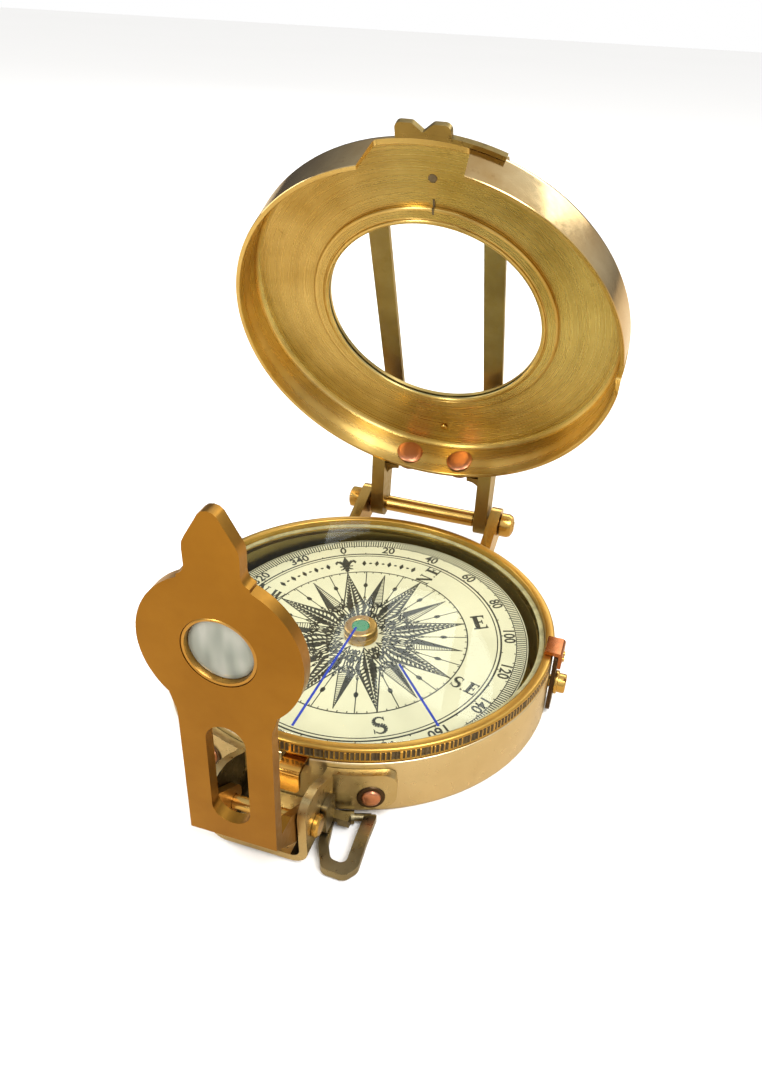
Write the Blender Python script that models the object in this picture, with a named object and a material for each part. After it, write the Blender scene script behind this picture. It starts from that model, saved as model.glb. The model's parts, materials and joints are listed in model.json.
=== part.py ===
"""Brass sighting compass, 76 mm case: cup with a floating card under a turning glass bezel, a sprung card
lifter, a hinged lid with a round window and a front sight, and a folding slotted eyepiece on the front bracket.
Millimetres, z up from the underside of the case, +Y towards the lid hinge, -Y towards the eyepiece."""

import math

import bmesh
import bpy
from mathutils import Matrix, Vector

MM = 0.001
SEGMENTS = 48
PIN_SEGMENTS = 16
FIT_GAP = 0.06
RUNNING_GAP = 0.1

# Case and bezel
CASE_RADIUS = 38.0
CASE_HEIGHT = 14.3
CASE_WALL = 2.1
FLOOR_THICKNESS = 1.6
CASE_STEP_Z = 11.3
NECK_RADIUS = 36.9
NECK_TOP_Z = 12.4
CASE_EDGE = 0.6
LINER_OUTER_RADIUS = 35.7
LINER_INNER_RADIUS = 34.9
LINER_BOTTOM_Z = 1.8
LINER_TOP_Z = 11.7
BEZEL_BOTTOM_Z = 11.6
BEZEL_LIP_RADIUS = 36.1
BEZEL_LEDGE_RADIUS = 35.2
BEZEL_LEDGE_Z = 12.8
BEZEL_CHAMFER = 0.3
SNAP_LOW_Z = 11.85
SNAP_HIGH_Z = 12.25
SNAP_INNER_RADIUS = 36.3
SNAP_OUTER_RADIUS = 37.45
GASKET_THICKNESS = 0.25
GLASS_BOTTOM_Z = 13.1
GLASS_THICKNESS = 0.9

# Card, its cap and its pivot
CARD_RADIUS = 33.4
CARD_THICKNESS = 0.4
CARD_DROP = 0.5
CARD_HOLE_RADIUS = 2.4
CARD_NORMAL = Vector((-0.035, -0.075, 0.9966)).normalized()
CARD_HEADING = math.radians(27.0)
PIVOT_TIP_Z = 8.57
CAP_RADIUS = 3.4
CAP_TOP = 2.6
CAP_BORE_RADIUS = 1.6
CAP_BARREL_RADIUS = 2.25
CAP_BARREL_DROP = 1.9
JEWEL_RADIUS = 1.75
MAGNET_LENGTH = 26.0
MAGNET_WIDTH = 3.0
MAGNET_HEIGHT = 1.1
MAGNET_OFFSET = 6.5
POST_RADIUS = 1.15
POST_FLANGE_RADIUS = 3.6

# Card lifter
SLEEVE_RADIUS = 2.4
SLEEVE_BORE_RADIUS = 1.3
SLEEVE_FLANGE_RADIUS = 3.9
SLEEVE_TOP_Z = 6.0
LEVER_LEFT_X = -0.4
LEVER_RIGHT_X = 3.5
LEVER_THICKNESS = 0.8
LEVER_LOW_Z = 3.2
LEVER_HIGH_Z = 10.6
LEVER_WALL_Y = -34.8
LEVER_TAB_Y = -40.8
LEVER_TAB_BOTTOM_Z = 6.3
LEVER_EYE_RADIUS = 4.7
FULCRUM_Y = -29.0
FULCRUM_RADIUS = 0.5
FULCRUM_BOSS_RADIUS = 1.1

# Bezel clamp on the right-hand side
CLAMP_Y = 2.0
CLAMP_WIDTH = 5.0
CLAMP_INNER_X = 38.2
CLAMP_THICKNESS = 0.8
CLAMP_BOTTOM_Z = 1.0
HOOK_BOTTOM_Z = 11.7
HOOK_REACH_X = 36.3
HOOK_RISE = 0.9
HOOK_TOP_Z = CASE_HEIGHT + HOOK_RISE
HOOK_RIVET_Z = (12.3, 13.6)
CLAMP_SCREW_Z = 6.6
SCREW_SHANK_RADIUS = 1.2
SCREW_HEAD_RADIUS = 2.3
SCREW_TIP_RADIUS = 1.9

# Lid hinge, in the case frame
HINGE_Y = 52.4
HINGE_Z = 9.5
LID_OPENING = math.radians(66.1)
HINGE_PIN_RADIUS = 1.6
LUG_INNER_X = 15.1
LUG_OUTER_X = 17.6
LUG_EYE_RADIUS = 3.9
HINGE_END_X = 21.0
NUT_RADIUS = 2.9
BAND_INNER_RADIUS = 38.1
BAND_OUTER_RADIUS = 39.4
BAND_TOP_Z = 7.0
BAND_BOTTOM_Z = 1.2
HINGE_RIVET_X = 8.5
HINGE_RIVET_Z = 4.1

# Lid, drawn closed
LID_RADIUS = 40.15
LID_SHEET = 1.0
LID_RIM_Z = 11.4
LID_SHOULDER = 2.5
LID_TOP_Z = 21.6
WINDOW_RADIUS = 22.7
WINDOW_GLASS_RADIUS = 24.6
WINDOW_GLASS_THICKNESS = 1.0
WINDOW_RING_RADIUS = 27.0
WINDOW_RING_THICKNESS = 0.6
NOTCH_HALF_WIDTH = 8.7
NOTCH_TOP_Z = 19.0
SIDE_SLOT_Y = (-2.6, 5.4)
SIDE_SLOT_TOP_Z = 16.2
LID_RIVET_X = 6.3
LID_RIVET_Z = 15.4
RIVET_HEAD_RADIUS = 2.5
RIVET_HEAD_HEIGHT = 0.9
RIVET_SHANK_RADIUS = 1.1

# Sight frame and front sight, drawn closed
ARM_INNER_X = 12.7
ARM_OUTER_X = 14.6
ARM_EYE_RADIUS = 3.2
FRAME_SHEET = 1.25
FRAME_GAP = 0.1
FRAME_BOTTOM_Z = 12.6
FRAME_TOP_Z = 19.2
STRAP_X = 11.8
STRAP_WIDTH = 4.3
STRAP_RISE = 4.4
STRAP_TOP_Z = LID_TOP_Z + STRAP_RISE
STRAP_FRONT_Y = -34.6
SIGHT_BAND_X = 15.0
SIGHT_BAND_Z = (18.9, 20.2)
SIGHT_TAB_Z = 19.3
SIGHT_LEFT_X = -4.7
SIGHT_RIGHT_X = 5.4
SIGHT_FRONT_Y = -42.9
SIGHT_NOTCH_Y = -41.3

# Front bracket
BRACKET_SHEET = 1.4
CHEEK_OUTER_X = 8.5
BRACKET_FRONT_Y = -50.5
BRACKET_FLOOR_Z = 0.7
BRACKET_CORNER = 3.0
CHEEK_TOP_Z = 14.0
CHEEK_NOSE = 2.6
WING_END_X = 18.6
WING_LOW_Z = 2.5
WING_HIGH_Z = 10.2
WING_INNER_RADIUS = 38.1
WING_OUTER_RADIUS = 39.6
WING_RIVET_X = 14.0
WING_RIVET_Z = 5.3

# Eyepiece
EYE_PIN_Y = -46.5
EYE_PIN_Z = 6.8
EYE_PIN_RADIUS = 1.2
EYE_PLATE_Y = -57.5
EYE_PLATE_THICKNESS = 2.0
EYE_PLATE_BOTTOM_Z = 12.5
EYE_LEAN = math.radians(1.2)
STEM_HALF_WIDTH = 6.9
DISC_Z = 47.6
DISC_RADIUS = 11.7
TAB_HALF_WIDTH = 3.6
TAB_SHOULDER_Z = 63.8
TAB_TIP_Z = 68.5
TAB_TIP_HALF_WIDTH = 0.9
SLOT_HALF_WIDTH = 3.0
SLOT_LOW_Z = 15.9
SLOT_HIGH_Z = 34.8
LENS_HOLE_RADIUS = 5.4
LENS_RING_INNER = 4.2
LENS_RADIUS = 4.7
EAR_THICKNESS = 1.4
EAR_EYE_RADIUS = 2.7

# Thumb loop
LOOP_Z = 1.2
LOOP_THICKNESS = 1.4
LOOP_BAR_LEFT = Vector((8.9, -39.5, LOOP_Z))
LOOP_BAR_RIGHT = Vector((15.0, -37.3, LOOP_Z))
LOOP_BAR_RADIUS = 0.65
LOOP_EYE_RADIUS = 1.15
HANGER_THICKNESS = 1.0
HANGER_TOP_Z = 8.3
HANGER_Y = (-44.3, -40.4)
LOOP_OUTER = [
    (15.9, -37.0),
    (16.0, -42.1),
    (16.4, -48.1),
    (14.9, -50.4),
    (10.9, -50.2),
    (8.8, -45.8),
    (8.2, -43.0),
    (8.2, -39.75),
]
LOOP_INNER = [
    (9.4, -39.3),
    (9.4, -40.2),
    (10.3, -45.2),
    (11.7, -48.0),
    (14.3, -48.3),
    (14.0, -42.8),
    (13.9, -37.7),
]

# An outline drawn in the YZ plane and extruded along X, and one drawn in the XZ plane and extruded along -Y
ALONG_X = Matrix(((0, 0, 1, 0), (1, 0, 0, 0), (0, 1, 0, 0), (0, 0, 0, 1)))
ALONG_MINUS_Y = Matrix(((1, 0, 0, 0), (0, 0, -1, 0), (0, 1, 0, 0), (0, 0, 0, 1)))

BRASS = (0.62, 0.44, 0.16)
PALE_BRASS = (0.66, 0.55, 0.34)
COPPER = (0.70, 0.33, 0.18)
DARK = (0.05, 0.05, 0.05)
GLASS = (0.75, 0.85, 0.80)
STEEL = (0.45, 0.45, 0.46)
BRONZE = (0.35, 0.30, 0.22)
SMOOTH_BELOW = math.radians(32)


def clear_scene():
    for obj in list(bpy.data.objects):
        bpy.data.objects.remove(obj)


def solid(name, bm, colour=BRASS, metallic=1.0):
    """Closes the bmesh into an object with its own material."""
    bmesh.ops.recalc_face_normals(bm, faces=bm.faces)
    mesh = bpy.data.meshes.new(name)
    bm.to_mesh(mesh)
    bm.free()
    obj = bpy.data.objects.new(name, mesh)
    bpy.context.scene.collection.objects.link(obj)
    paint(obj, colour, metallic)
    return obj


def paint(obj, colour, metallic):
    material = bpy.data.materials.new(obj.name)
    material.use_nodes = True
    shader = material.node_tree.nodes["Principled BSDF"]
    shader.inputs["Base Color"].default_value = (*colour, 1.0)
    shader.inputs["Metallic"].default_value = metallic
    shader.inputs["Roughness"].default_value = 0.35
    obj.data.materials.clear()
    obj.data.materials.append(material)
    obj.data.shade_smooth()
    obj.data.set_sharp_from_angle(angle=SMOOTH_BELOW)


def turned(name, profile, colour=BRASS, metallic=1.0, segments=SEGMENTS):
    """A body turned about Z from (radius, z) points. A profile off the axis closes into a ring."""
    bm = bmesh.new()
    rings = []
    for radius, z in profile:
        if radius == 0:
            rings.append([bm.verts.new((0, 0, z))])
            continue
        angles = [2 * math.pi * i / segments for i in range(segments)]
        rings.append(
            [bm.verts.new((radius * math.cos(a), radius * math.sin(a), z)) for a in angles]
        )
    if all(len(ring) > 1 for ring in rings):
        rings.append(rings[0])
    for lower, upper in zip(rings, rings[1:]):
        for i in range(segments):
            j = (i + 1) % segments
            corners = (
                lower[i % len(lower)],
                lower[j % len(lower)],
                upper[j % len(upper)],
                upper[i % len(upper)],
            )
            bm.faces.new(list(dict.fromkeys(corners)))
    return solid(name, bm, colour, metallic)


def prism(name, outline, low, high, place=None, colour=BRASS, metallic=1.0):
    """The outline extruded from low to high along the local third axis."""
    bm = bmesh.new()
    bottom = [bm.verts.new((u, v, low)) for u, v in outline]
    top = [bm.verts.new((u, v, high)) for u, v in outline]
    bm.faces.new(bottom)
    bm.faces.new(top)
    for i in range(len(outline)):
        j = (i + 1) % len(outline)
        bm.faces.new((bottom[i], bottom[j], top[j], top[i]))
    if place is not None:
        bm.transform(place)
    return solid(name, bm, colour, metallic)


def box(name, x, y, z, colour=BRASS, metallic=1.0):
    outline = [(x[0], y[0]), (x[1], y[0]), (x[1], y[1]), (x[0], y[1])]
    return prism(name, outline, z[0], z[1], colour=colour, metallic=metallic)


def rod(name, radius, start, end, colour=BRASS, metallic=1.0, segments=PIN_SEGMENTS):
    """A round bar between two points."""
    start, end = Vector(start), Vector(end)
    outline = circle((0, 0), radius, segments)
    place = Matrix.Translation(start) @ (end - start).to_track_quat("Z", "Y").to_matrix().to_4x4()
    return prism(name, outline, 0, (end - start).length, place, colour, metallic)


def combine(target, tool, operation):
    """Bakes one Boolean into the target and drops the tool."""
    modifier = target.modifiers.new(operation, "BOOLEAN")
    modifier.operation = operation
    modifier.solver = "EXACT"
    modifier.object = tool
    bpy.context.view_layer.update()
    graph = bpy.context.evaluated_depsgraph_get()
    mesh = bpy.data.meshes.new_from_object(target.evaluated_get(graph))
    material = target.data.materials[0]
    target.modifiers.clear()
    target.data = mesh
    mesh.materials.clear()
    mesh.materials.append(material)
    bpy.data.objects.remove(tool)
    return target


def cut(target, *tools):
    for tool in tools:
        combine(target, tool, "DIFFERENCE")
    return target


def join(target, *tools):
    for tool in tools:
        combine(target, tool, "UNION")
    return target


def circle(centre, radius, segments=PIN_SEGMENTS):
    return [
        (
            centre[0] + radius * math.cos(2 * math.pi * i / segments),
            centre[1] + radius * math.sin(2 * math.pi * i / segments),
        )
        for i in range(segments)
    ]


def arc(centre, radius, start, end, steps):
    """Points along an arc, angles in degrees."""
    angles = [math.radians(start + (end - start) * i / steps) for i in range(steps + 1)]
    return [(centre[0] + radius * math.cos(a), centre[1] + radius * math.sin(a)) for a in angles]


def rounded(points, radius, steps=3):
    """The polygon with each corner replaced by an arc of this radius."""
    result = []
    for i, corner in enumerate(points):
        here = Vector(corner)
        before = (Vector(points[i - 1]) - here).normalized()
        after = (Vector(points[(i + 1) % len(points)]) - here).normalized()
        half = before.angle(after) / 2
        reach = radius / math.tan(half)
        centre = here + (before + after).normalized() * radius / math.sin(half)
        first, last = here + before * reach - centre, here + after * reach - centre
        for step in range(steps + 1):
            blend = first.lerp(last, step / steps)
            result.append(tuple(centre + blend.normalized() * radius))
    return result


def hull(points):
    """Convex outline round the points, counterclockwise."""
    ordered = sorted(set(points))
    halves = []
    for run in (ordered, ordered[::-1]):
        chain = []
        for p in run:
            while len(chain) > 1 and turn(chain[-2], chain[-1], p) <= 0:
                chain.pop()
            chain.append(p)
        halves.append(chain[:-1])
    return halves[0] + halves[1]


def turn(a, b, c):
    return (b[0] - a[0]) * (c[1] - a[1]) - (b[1] - a[1]) * (c[0] - a[0])


def wall_band(name, inner, outer, half_width, low, high, front, colour=BRASS):
    """A curved sheet against the round wall, at the front (-Y) or at the back (+Y)."""
    middle = -90 if front else 90
    reach = math.degrees(math.asin(half_width / outer))
    steps = 8
    outline = arc((0, 0), inner, middle - reach, middle + reach, steps)
    outline += arc((0, 0), outer, middle + reach, middle - reach, steps)
    return prism(name, outline, low, high, colour=colour)


def radial_place(x, z, radius, front):
    """Local +Z pointing outwards from the wall of this radius, at this x and height."""
    y = math.sqrt(radius * radius - x * x) * (-1 if front else 1)
    outward = Vector((x, y, 0)).normalized()
    return Matrix.Translation((x, y, z)) @ outward.to_track_quat("Z", "Y").to_matrix().to_4x4()


def rivet(name, place, low, high, back_head, colour):
    """A domed rivet from low to high along the local axis, with a second head at its low end if asked for."""
    r, h, s = RIVET_HEAD_RADIUS, RIVET_HEAD_HEIGHT, RIVET_SHANK_RADIUS
    profile = [(0, low)]
    if back_head:
        profile = [(0, low - h), (r * 0.6, low - h * 0.75), (r, low - h * 0.15), (r, low), (s, low)]
    else:
        profile.append((s, low))
    profile += [(s, high), (r, high), (r, high + h * 0.15), (r * 0.6, high + h * 0.75), (0, high + h)]
    obj = turned(name, profile, colour, segments=PIN_SEGMENTS)
    obj.data.transform(place)
    return obj


def rivet_hole(place, low, high):
    tool = turned(
        "hole",
        [(0, low), (RIVET_SHANK_RADIUS + FIT_GAP, low), (RIVET_SHANK_RADIUS + FIT_GAP, high), (0, high)],
        segments=PIN_SEGMENTS,
    )
    tool.data.transform(place)
    return tool


def hang(objects, pivot, rotation=None):
    """Moves each mesh so that the object's origin is on its joint, then turns it to its rest pose."""
    for obj in objects:
        obj.data.transform(Matrix.Translation(-Vector(pivot)))
        obj.location = Vector(pivot)
        if rotation is not None:
            obj.rotation_mode = "QUATERNION"
            obj.rotation_quaternion = rotation


def scale_to_metres():
    for obj in bpy.context.scene.collection.objects:
        obj.data.transform(Matrix.Scale(MM, 4))
        obj.location *= MM


def build_case():
    inner = CASE_RADIUS - CASE_WALL
    body = turned(
        "case_body",
        [
            (0, 0),
            (CASE_RADIUS - CASE_EDGE, 0),
            (CASE_RADIUS, CASE_EDGE),
            (CASE_RADIUS, CASE_STEP_Z),
            (NECK_RADIUS, CASE_STEP_Z),
            (NECK_RADIUS, SNAP_LOW_Z),
            (SNAP_INNER_RADIUS, SNAP_LOW_Z),
            (SNAP_INNER_RADIUS, SNAP_HIGH_Z),
            (NECK_RADIUS, SNAP_HIGH_Z),
            (NECK_RADIUS, NECK_TOP_Z),
            (inner, NECK_TOP_Z),
            (inner, FLOOR_THICKNESS),
            (0, FLOOR_THICKNESS),
        ],
        PALE_BRASS,
    )
    lever_gap = 0.5
    cut(
        body,
        box(
            "lever_window",
            (LEVER_LEFT_X - lever_gap, LEVER_RIGHT_X + lever_gap),
            (-CASE_RADIUS - 1, -inner + 1),
            (LEVER_HIGH_Z - LEVER_THICKNESS / 2 - lever_gap, CASE_STEP_Z + 0.1),
        ),
    )
    for side in (-1, 1):
        place = radial_place(side * WING_RIVET_X, WING_RIVET_Z, CASE_RADIUS, True)
        cut(body, rivet_hole(place, -1.5, 1))
        place = radial_place(side * HINGE_RIVET_X, HINGE_RIVET_Z, CASE_RADIUS, False)
        cut(body, rivet_hole(place, -1.5, 1))
    start = (CASE_RADIUS - 1.5, CLAMP_Y, CLAMP_SCREW_Z)
    cut(body, rod("hole", SCREW_SHANK_RADIUS + FIT_GAP, start, (40, CLAMP_Y, CLAMP_SCREW_Z)))

    liner = turned(
        "chamber_liner",
        [
            (LINER_INNER_RADIUS, LINER_BOTTOM_Z),
            (LINER_OUTER_RADIUS, LINER_BOTTOM_Z),
            (LINER_OUTER_RADIUS, LINER_TOP_Z),
            (LINER_INNER_RADIUS, LINER_TOP_Z),
        ],
        DARK,
        0.0,
    )
    cut(
        liner,
        box(
            "liner_gap",
            (LEVER_LEFT_X - lever_gap, LEVER_RIGHT_X + lever_gap),
            (-CASE_RADIUS, -LINER_INNER_RADIUS + 2),
            (0, CASE_HEIGHT),
        ),
    )


def build_bezel():
    skirt = NECK_RADIUS + RUNNING_GAP
    turned(
        "bezel_ring",
        [
            (skirt, BEZEL_BOTTOM_Z),
            (CASE_RADIUS, BEZEL_BOTTOM_Z),
            (CASE_RADIUS, CASE_HEIGHT - BEZEL_CHAMFER),
            (CASE_RADIUS - BEZEL_CHAMFER, CASE_HEIGHT),
            (BEZEL_LIP_RADIUS, CASE_HEIGHT),
            (BEZEL_LIP_RADIUS, BEZEL_LEDGE_Z),
            (BEZEL_LEDGE_RADIUS, BEZEL_LEDGE_Z),
            (BEZEL_LEDGE_RADIUS, NECK_TOP_Z + RUNNING_GAP),
            (skirt, NECK_TOP_Z + RUNNING_GAP),
            (skirt, SNAP_HIGH_Z),
            (SNAP_OUTER_RADIUS, SNAP_HIGH_Z),
            (SNAP_OUTER_RADIUS, SNAP_LOW_Z),
            (skirt, SNAP_LOW_Z),
        ],
    )
    ring_gap = 0.13
    turned(
        "bezel_spring_ring",
        [
            (SNAP_INNER_RADIUS + ring_gap, SNAP_LOW_Z + FIT_GAP),
            (SNAP_OUTER_RADIUS - ring_gap, SNAP_LOW_Z + FIT_GAP),
            (SNAP_OUTER_RADIUS - ring_gap, SNAP_HIGH_Z - FIT_GAP),
            (SNAP_INNER_RADIUS + ring_gap, SNAP_HIGH_Z - FIT_GAP),
        ],
        STEEL,
    )
    gasket_low = BEZEL_LEDGE_Z + 0.02
    turned(
        "glass_gasket",
        [
            (BEZEL_LEDGE_RADIUS, gasket_low),
            (BEZEL_LIP_RADIUS - FIT_GAP, gasket_low),
            (BEZEL_LIP_RADIUS - FIT_GAP, gasket_low + GASKET_THICKNESS),
            (BEZEL_LEDGE_RADIUS, gasket_low + GASKET_THICKNESS),
        ],
        DARK,
        0.0,
    )
    glass_radius = BEZEL_LIP_RADIUS - FIT_GAP
    turned(
        "bezel_glass",
        [
            (0, GLASS_BOTTOM_Z),
            (glass_radius, GLASS_BOTTOM_Z),
            (glass_radius, GLASS_BOTTOM_Z + GLASS_THICKNESS),
            (0, GLASS_BOTTOM_Z + GLASS_THICKNESS),
        ],
        GLASS,
        0.0,
    )


def build_card():
    """Drawn about the tip of the pivot, then tilted and turned as one."""
    top = -CARD_DROP + CARD_THICKNESS / 2
    bottom = -CARD_DROP - CARD_THICKNESS / 2
    card = turned(
        "compass_card",
        [
            (CARD_HOLE_RADIUS, bottom),
            (CARD_RADIUS, bottom),
            (CARD_RADIUS, top),
            (CARD_HOLE_RADIUS, top),
        ],
        (0.63, 0.60, 0.42),
        0.0,
    )
    seat = top + FIT_GAP
    cup_seat = 0.95
    cap = card_cap(seat, cup_seat)
    jewel = turned(
        "cap_jewel",
        [
            (0, CAP_TOP - 0.4),
            (JEWEL_RADIUS, CAP_TOP - 0.4),
            (JEWEL_RADIUS, CAP_TOP - 0.05),
            (0, CAP_TOP),
        ],
        (0.02, 0.30, 0.16),
        0.0,
        segments=32,
    )
    cup_radius = CAP_BORE_RADIUS - 0.05
    cup = turned(
        "jewel_cup",
        [
            (0, cup_seat - 0.04),
            (cup_radius, cup_seat - 0.04),
            (cup_radius, -0.5),
            (1.0, -0.5),
            (0, 0.25),
        ],
        (0.35, 0.02, 0.06),
        0.0,
        segments=32,
    )
    magnets = []
    for name, side in (("magnet_left", -1), ("magnet_right", 1)):
        magnets.append(
            box(
                name,
                (side * MAGNET_OFFSET - MAGNET_WIDTH / 2, side * MAGNET_OFFSET + MAGNET_WIDTH / 2),
                (-MAGNET_LENGTH / 2, MAGNET_LENGTH / 2),
                (bottom - FIT_GAP - MAGNET_HEIGHT, bottom - FIT_GAP),
                STEEL,
            )
        )
    tilt = Vector((0, 0, 1)).rotation_difference(CARD_NORMAL)
    spin = Matrix.Rotation(CARD_HEADING, 4, "Z").to_quaternion()
    hang([card, cap, jewel, cup, *magnets], (0, 0, 0), tilt @ spin)
    for obj in (card, cap, jewel, cup, *magnets):
        obj.location = (0, 0, PIVOT_TIP_Z)


def card_cap(seat, cup_seat):
    """The card's cap: a drum over the pivot with a barrel through the card and a seat for the jewel."""
    jewel_seat = CAP_TOP - 0.45
    outside = [
        (0, jewel_seat),
        (JEWEL_RADIUS + FIT_GAP, jewel_seat),
        (JEWEL_RADIUS + FIT_GAP, CAP_TOP),
        (CAP_RADIUS - 0.5, CAP_TOP),
        (CAP_RADIUS, CAP_TOP - 0.4),
        (CAP_RADIUS, seat),
        (CAP_BARREL_RADIUS, seat),
        (CAP_BARREL_RADIUS, -CAP_BARREL_DROP),
        (CAP_BORE_RADIUS, -CAP_BARREL_DROP),
        (CAP_BORE_RADIUS, cup_seat),
        (0, cup_seat),
    ]
    return turned("card_cap", outside, (0.55, 0.45, 0.25), segments=32)


def build_pivot_and_lifter():
    needle_base = PIVOT_TIP_Z - 2.3
    turned(
        "pivot_post",
        [
            (0, FLOOR_THICKNESS + 0.02),
            (POST_FLANGE_RADIUS, FLOOR_THICKNESS + 0.02),
            (POST_FLANGE_RADIUS, FLOOR_THICKNESS + 0.35),
            (POST_RADIUS, FLOOR_THICKNESS + 0.35),
            (POST_RADIUS, needle_base - 0.6),
            (0.45, needle_base),
            (0.08, PIVOT_TIP_Z - 0.06),
            (0, PIVOT_TIP_Z - 0.02),
        ],
        STEEL,
        segments=PIN_SEGMENTS,
    )
    flange_low = LEVER_LOW_Z + LEVER_THICKNESS / 2 + RUNNING_GAP
    sleeve = turned(
        "card_lifter",
        [
            (SLEEVE_BORE_RADIUS, 2.2),
            (SLEEVE_RADIUS, 2.2),
            (SLEEVE_RADIUS, flange_low),
            (SLEEVE_FLANGE_RADIUS, flange_low),
            (SLEEVE_FLANGE_RADIUS, flange_low + 0.5),
            (SLEEVE_RADIUS, flange_low + 0.5),
            (SLEEVE_RADIUS, SLEEVE_TOP_Z),
            (SLEEVE_BORE_RADIUS, SLEEVE_TOP_Z),
        ],
        segments=PIN_SEGMENTS,
    )
    hang([sleeve], (0, 0, LEVER_LOW_Z))

    half = LEVER_THICKNESS / 2
    outer_y, inner_y = LEVER_TAB_Y - half, LEVER_WALL_Y + half
    side_view = [
        (outer_y, LEVER_TAB_BOTTOM_Z),
        (outer_y + LEVER_THICKNESS, LEVER_TAB_BOTTOM_Z),
        (outer_y + LEVER_THICKNESS, LEVER_HIGH_Z - half),
        (inner_y - LEVER_THICKNESS, LEVER_HIGH_Z - half),
        (inner_y - LEVER_THICKNESS, LEVER_LOW_Z - half),
        (-SLEEVE_RADIUS, LEVER_LOW_Z - half),
        (-SLEEVE_RADIUS, LEVER_LOW_Z + half),
        (inner_y, LEVER_LOW_Z + half),
        (inner_y, LEVER_HIGH_Z + half),
        (outer_y + half, LEVER_HIGH_Z + half),
        (outer_y, LEVER_HIGH_Z),
    ]
    lever = prism("lifter_lever", side_view, LEVER_LEFT_X, LEVER_RIGHT_X, ALONG_X, PALE_BRASS)
    eye = prism("eye", circle((0, 0), LEVER_EYE_RADIUS, 24), LEVER_LOW_Z - half, LEVER_LOW_Z + half)
    boss = rod(
        "boss",
        FULCRUM_BOSS_RADIUS,
        (LEVER_LEFT_X, FULCRUM_Y, LEVER_LOW_Z),
        (LEVER_RIGHT_X, FULCRUM_Y, LEVER_LOW_Z),
    )
    join(lever, eye, boss)
    eye_hole = prism("hole", circle((0, 0), SLEEVE_RADIUS + 0.3, 24), 0, LEVER_HIGH_Z)
    cut(lever, eye_hole, fulcrum_bore())
    hang([lever], (0, FULCRUM_Y, LEVER_LOW_Z))

    lug_gap, lug_width = 0.4, 1.1
    left = LEVER_LEFT_X - lug_gap - lug_width
    right = LEVER_RIGHT_X + lug_gap + lug_width
    foot_top = FLOOR_THICKNESS + 0.4
    lug_top = LEVER_LOW_Z + 1.2
    front_view = [
        (left, FLOOR_THICKNESS + 0.03),
        (right, FLOOR_THICKNESS + 0.03),
        (right, lug_top),
        (right - lug_width, lug_top),
        (right - lug_width, foot_top),
        (left + lug_width, foot_top),
        (left + lug_width, lug_top),
        (left, lug_top),
    ]
    lugs = prism("lever_fulcrum", front_view, -FULCRUM_Y - 1.6, -FULCRUM_Y + 1.6, ALONG_MINUS_Y)
    cut(lugs, fulcrum_bore())
    rod(
        "fulcrum_pin",
        FULCRUM_RADIUS,
        (left - 0.4, FULCRUM_Y, LEVER_LOW_Z),
        (right + 0.4, FULCRUM_Y, LEVER_LOW_Z),
        STEEL,
    )


def fulcrum_bore():
    return rod(
        "bore",
        FULCRUM_RADIUS + FIT_GAP,
        (LEVER_LEFT_X - 5, FULCRUM_Y, LEVER_LOW_Z),
        (LEVER_RIGHT_X + 5, FULCRUM_Y, LEVER_LOW_Z),
    )


def build_clamp():
    outer = CLAMP_INNER_X + CLAMP_THICKNESS
    y = (CLAMP_Y - CLAMP_WIDTH / 2, CLAMP_Y + CLAMP_WIDTH / 2)
    strip = box("clamp_strip", (CLAMP_INNER_X, outer), y, (CLAMP_BOTTOM_Z, CASE_HEIGHT - 0.2), DARK)
    hook_inner = outer + FIT_GAP
    hook_outer = hook_inner + 0.7
    hook_under = CASE_HEIGHT + RUNNING_GAP
    hook = prism(
        "clamp_hook",
        [
            (HOOK_REACH_X, hook_under),
            (hook_inner, hook_under),
            (hook_inner, HOOK_BOTTOM_Z),
            (hook_outer, HOOK_BOTTOM_Z),
            (hook_outer, HOOK_TOP_Z - 0.4),
            (hook_outer - 0.4, HOOK_TOP_Z),
            (HOOK_REACH_X, HOOK_TOP_Z),
        ],
        -y[1],
        -y[0],
        ALONG_MINUS_Y,
        COPPER,
    )
    for name, z in (("hook_rivet_lower", HOOK_RIVET_Z[0]), ("hook_rivet_upper", HOOK_RIVET_Z[1])):
        place = Matrix.Translation((0, CLAMP_Y, z)) @ Matrix.Rotation(math.pi / 2, 4, "Y")
        pin = turned(
            name,
            [
                (0, CLAMP_INNER_X),
                (0.3, CLAMP_INNER_X),
                (0.3, hook_outer + 0.04),
                (0.6, hook_outer + 0.04),
                (0.6, hook_outer + 0.2),
                (0, hook_outer + 0.35),
            ],
            segments=12,
        )
        pin.data.transform(place)
        for plate in (strip, hook):
            hole = rod("hole", 0.36, (CLAMP_INNER_X - 1, CLAMP_Y, z), (hook_outer + 1, CLAMP_Y, z))
            cut(plate, hole)
    screw = turned(
        "clamp_screw",
        [
            (0, CASE_RADIUS - 1.4),
            (SCREW_SHANK_RADIUS, CASE_RADIUS - 1.4),
            (SCREW_SHANK_RADIUS, outer + 0.04),
            (SCREW_HEAD_RADIUS, outer + 0.04),
            (SCREW_HEAD_RADIUS, outer + 0.7),
            (SCREW_TIP_RADIUS, outer + 0.7),
            (SCREW_TIP_RADIUS, outer + 1.9),
            (1.5, outer + 2.2),
            (0, outer + 2.2),
        ],
        segments=PIN_SEGMENTS,
    )
    place = Matrix.Translation((0, CLAMP_Y, CLAMP_SCREW_Z)) @ Matrix.Rotation(math.pi / 2, 4, "Y")
    screw.data.transform(place)
    cut(screw, box("slot", (outer + 1.7, outer + 3), (-9, 9), (CLAMP_SCREW_Z - 0.3, CLAMP_SCREW_Z + 0.3)))
    start = (CLAMP_INNER_X - 1, CLAMP_Y, CLAMP_SCREW_Z)
    cut(strip, rod("hole", SCREW_SHANK_RADIUS + FIT_GAP, start, (outer + 1, CLAMP_Y, CLAMP_SCREW_Z)))


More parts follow.
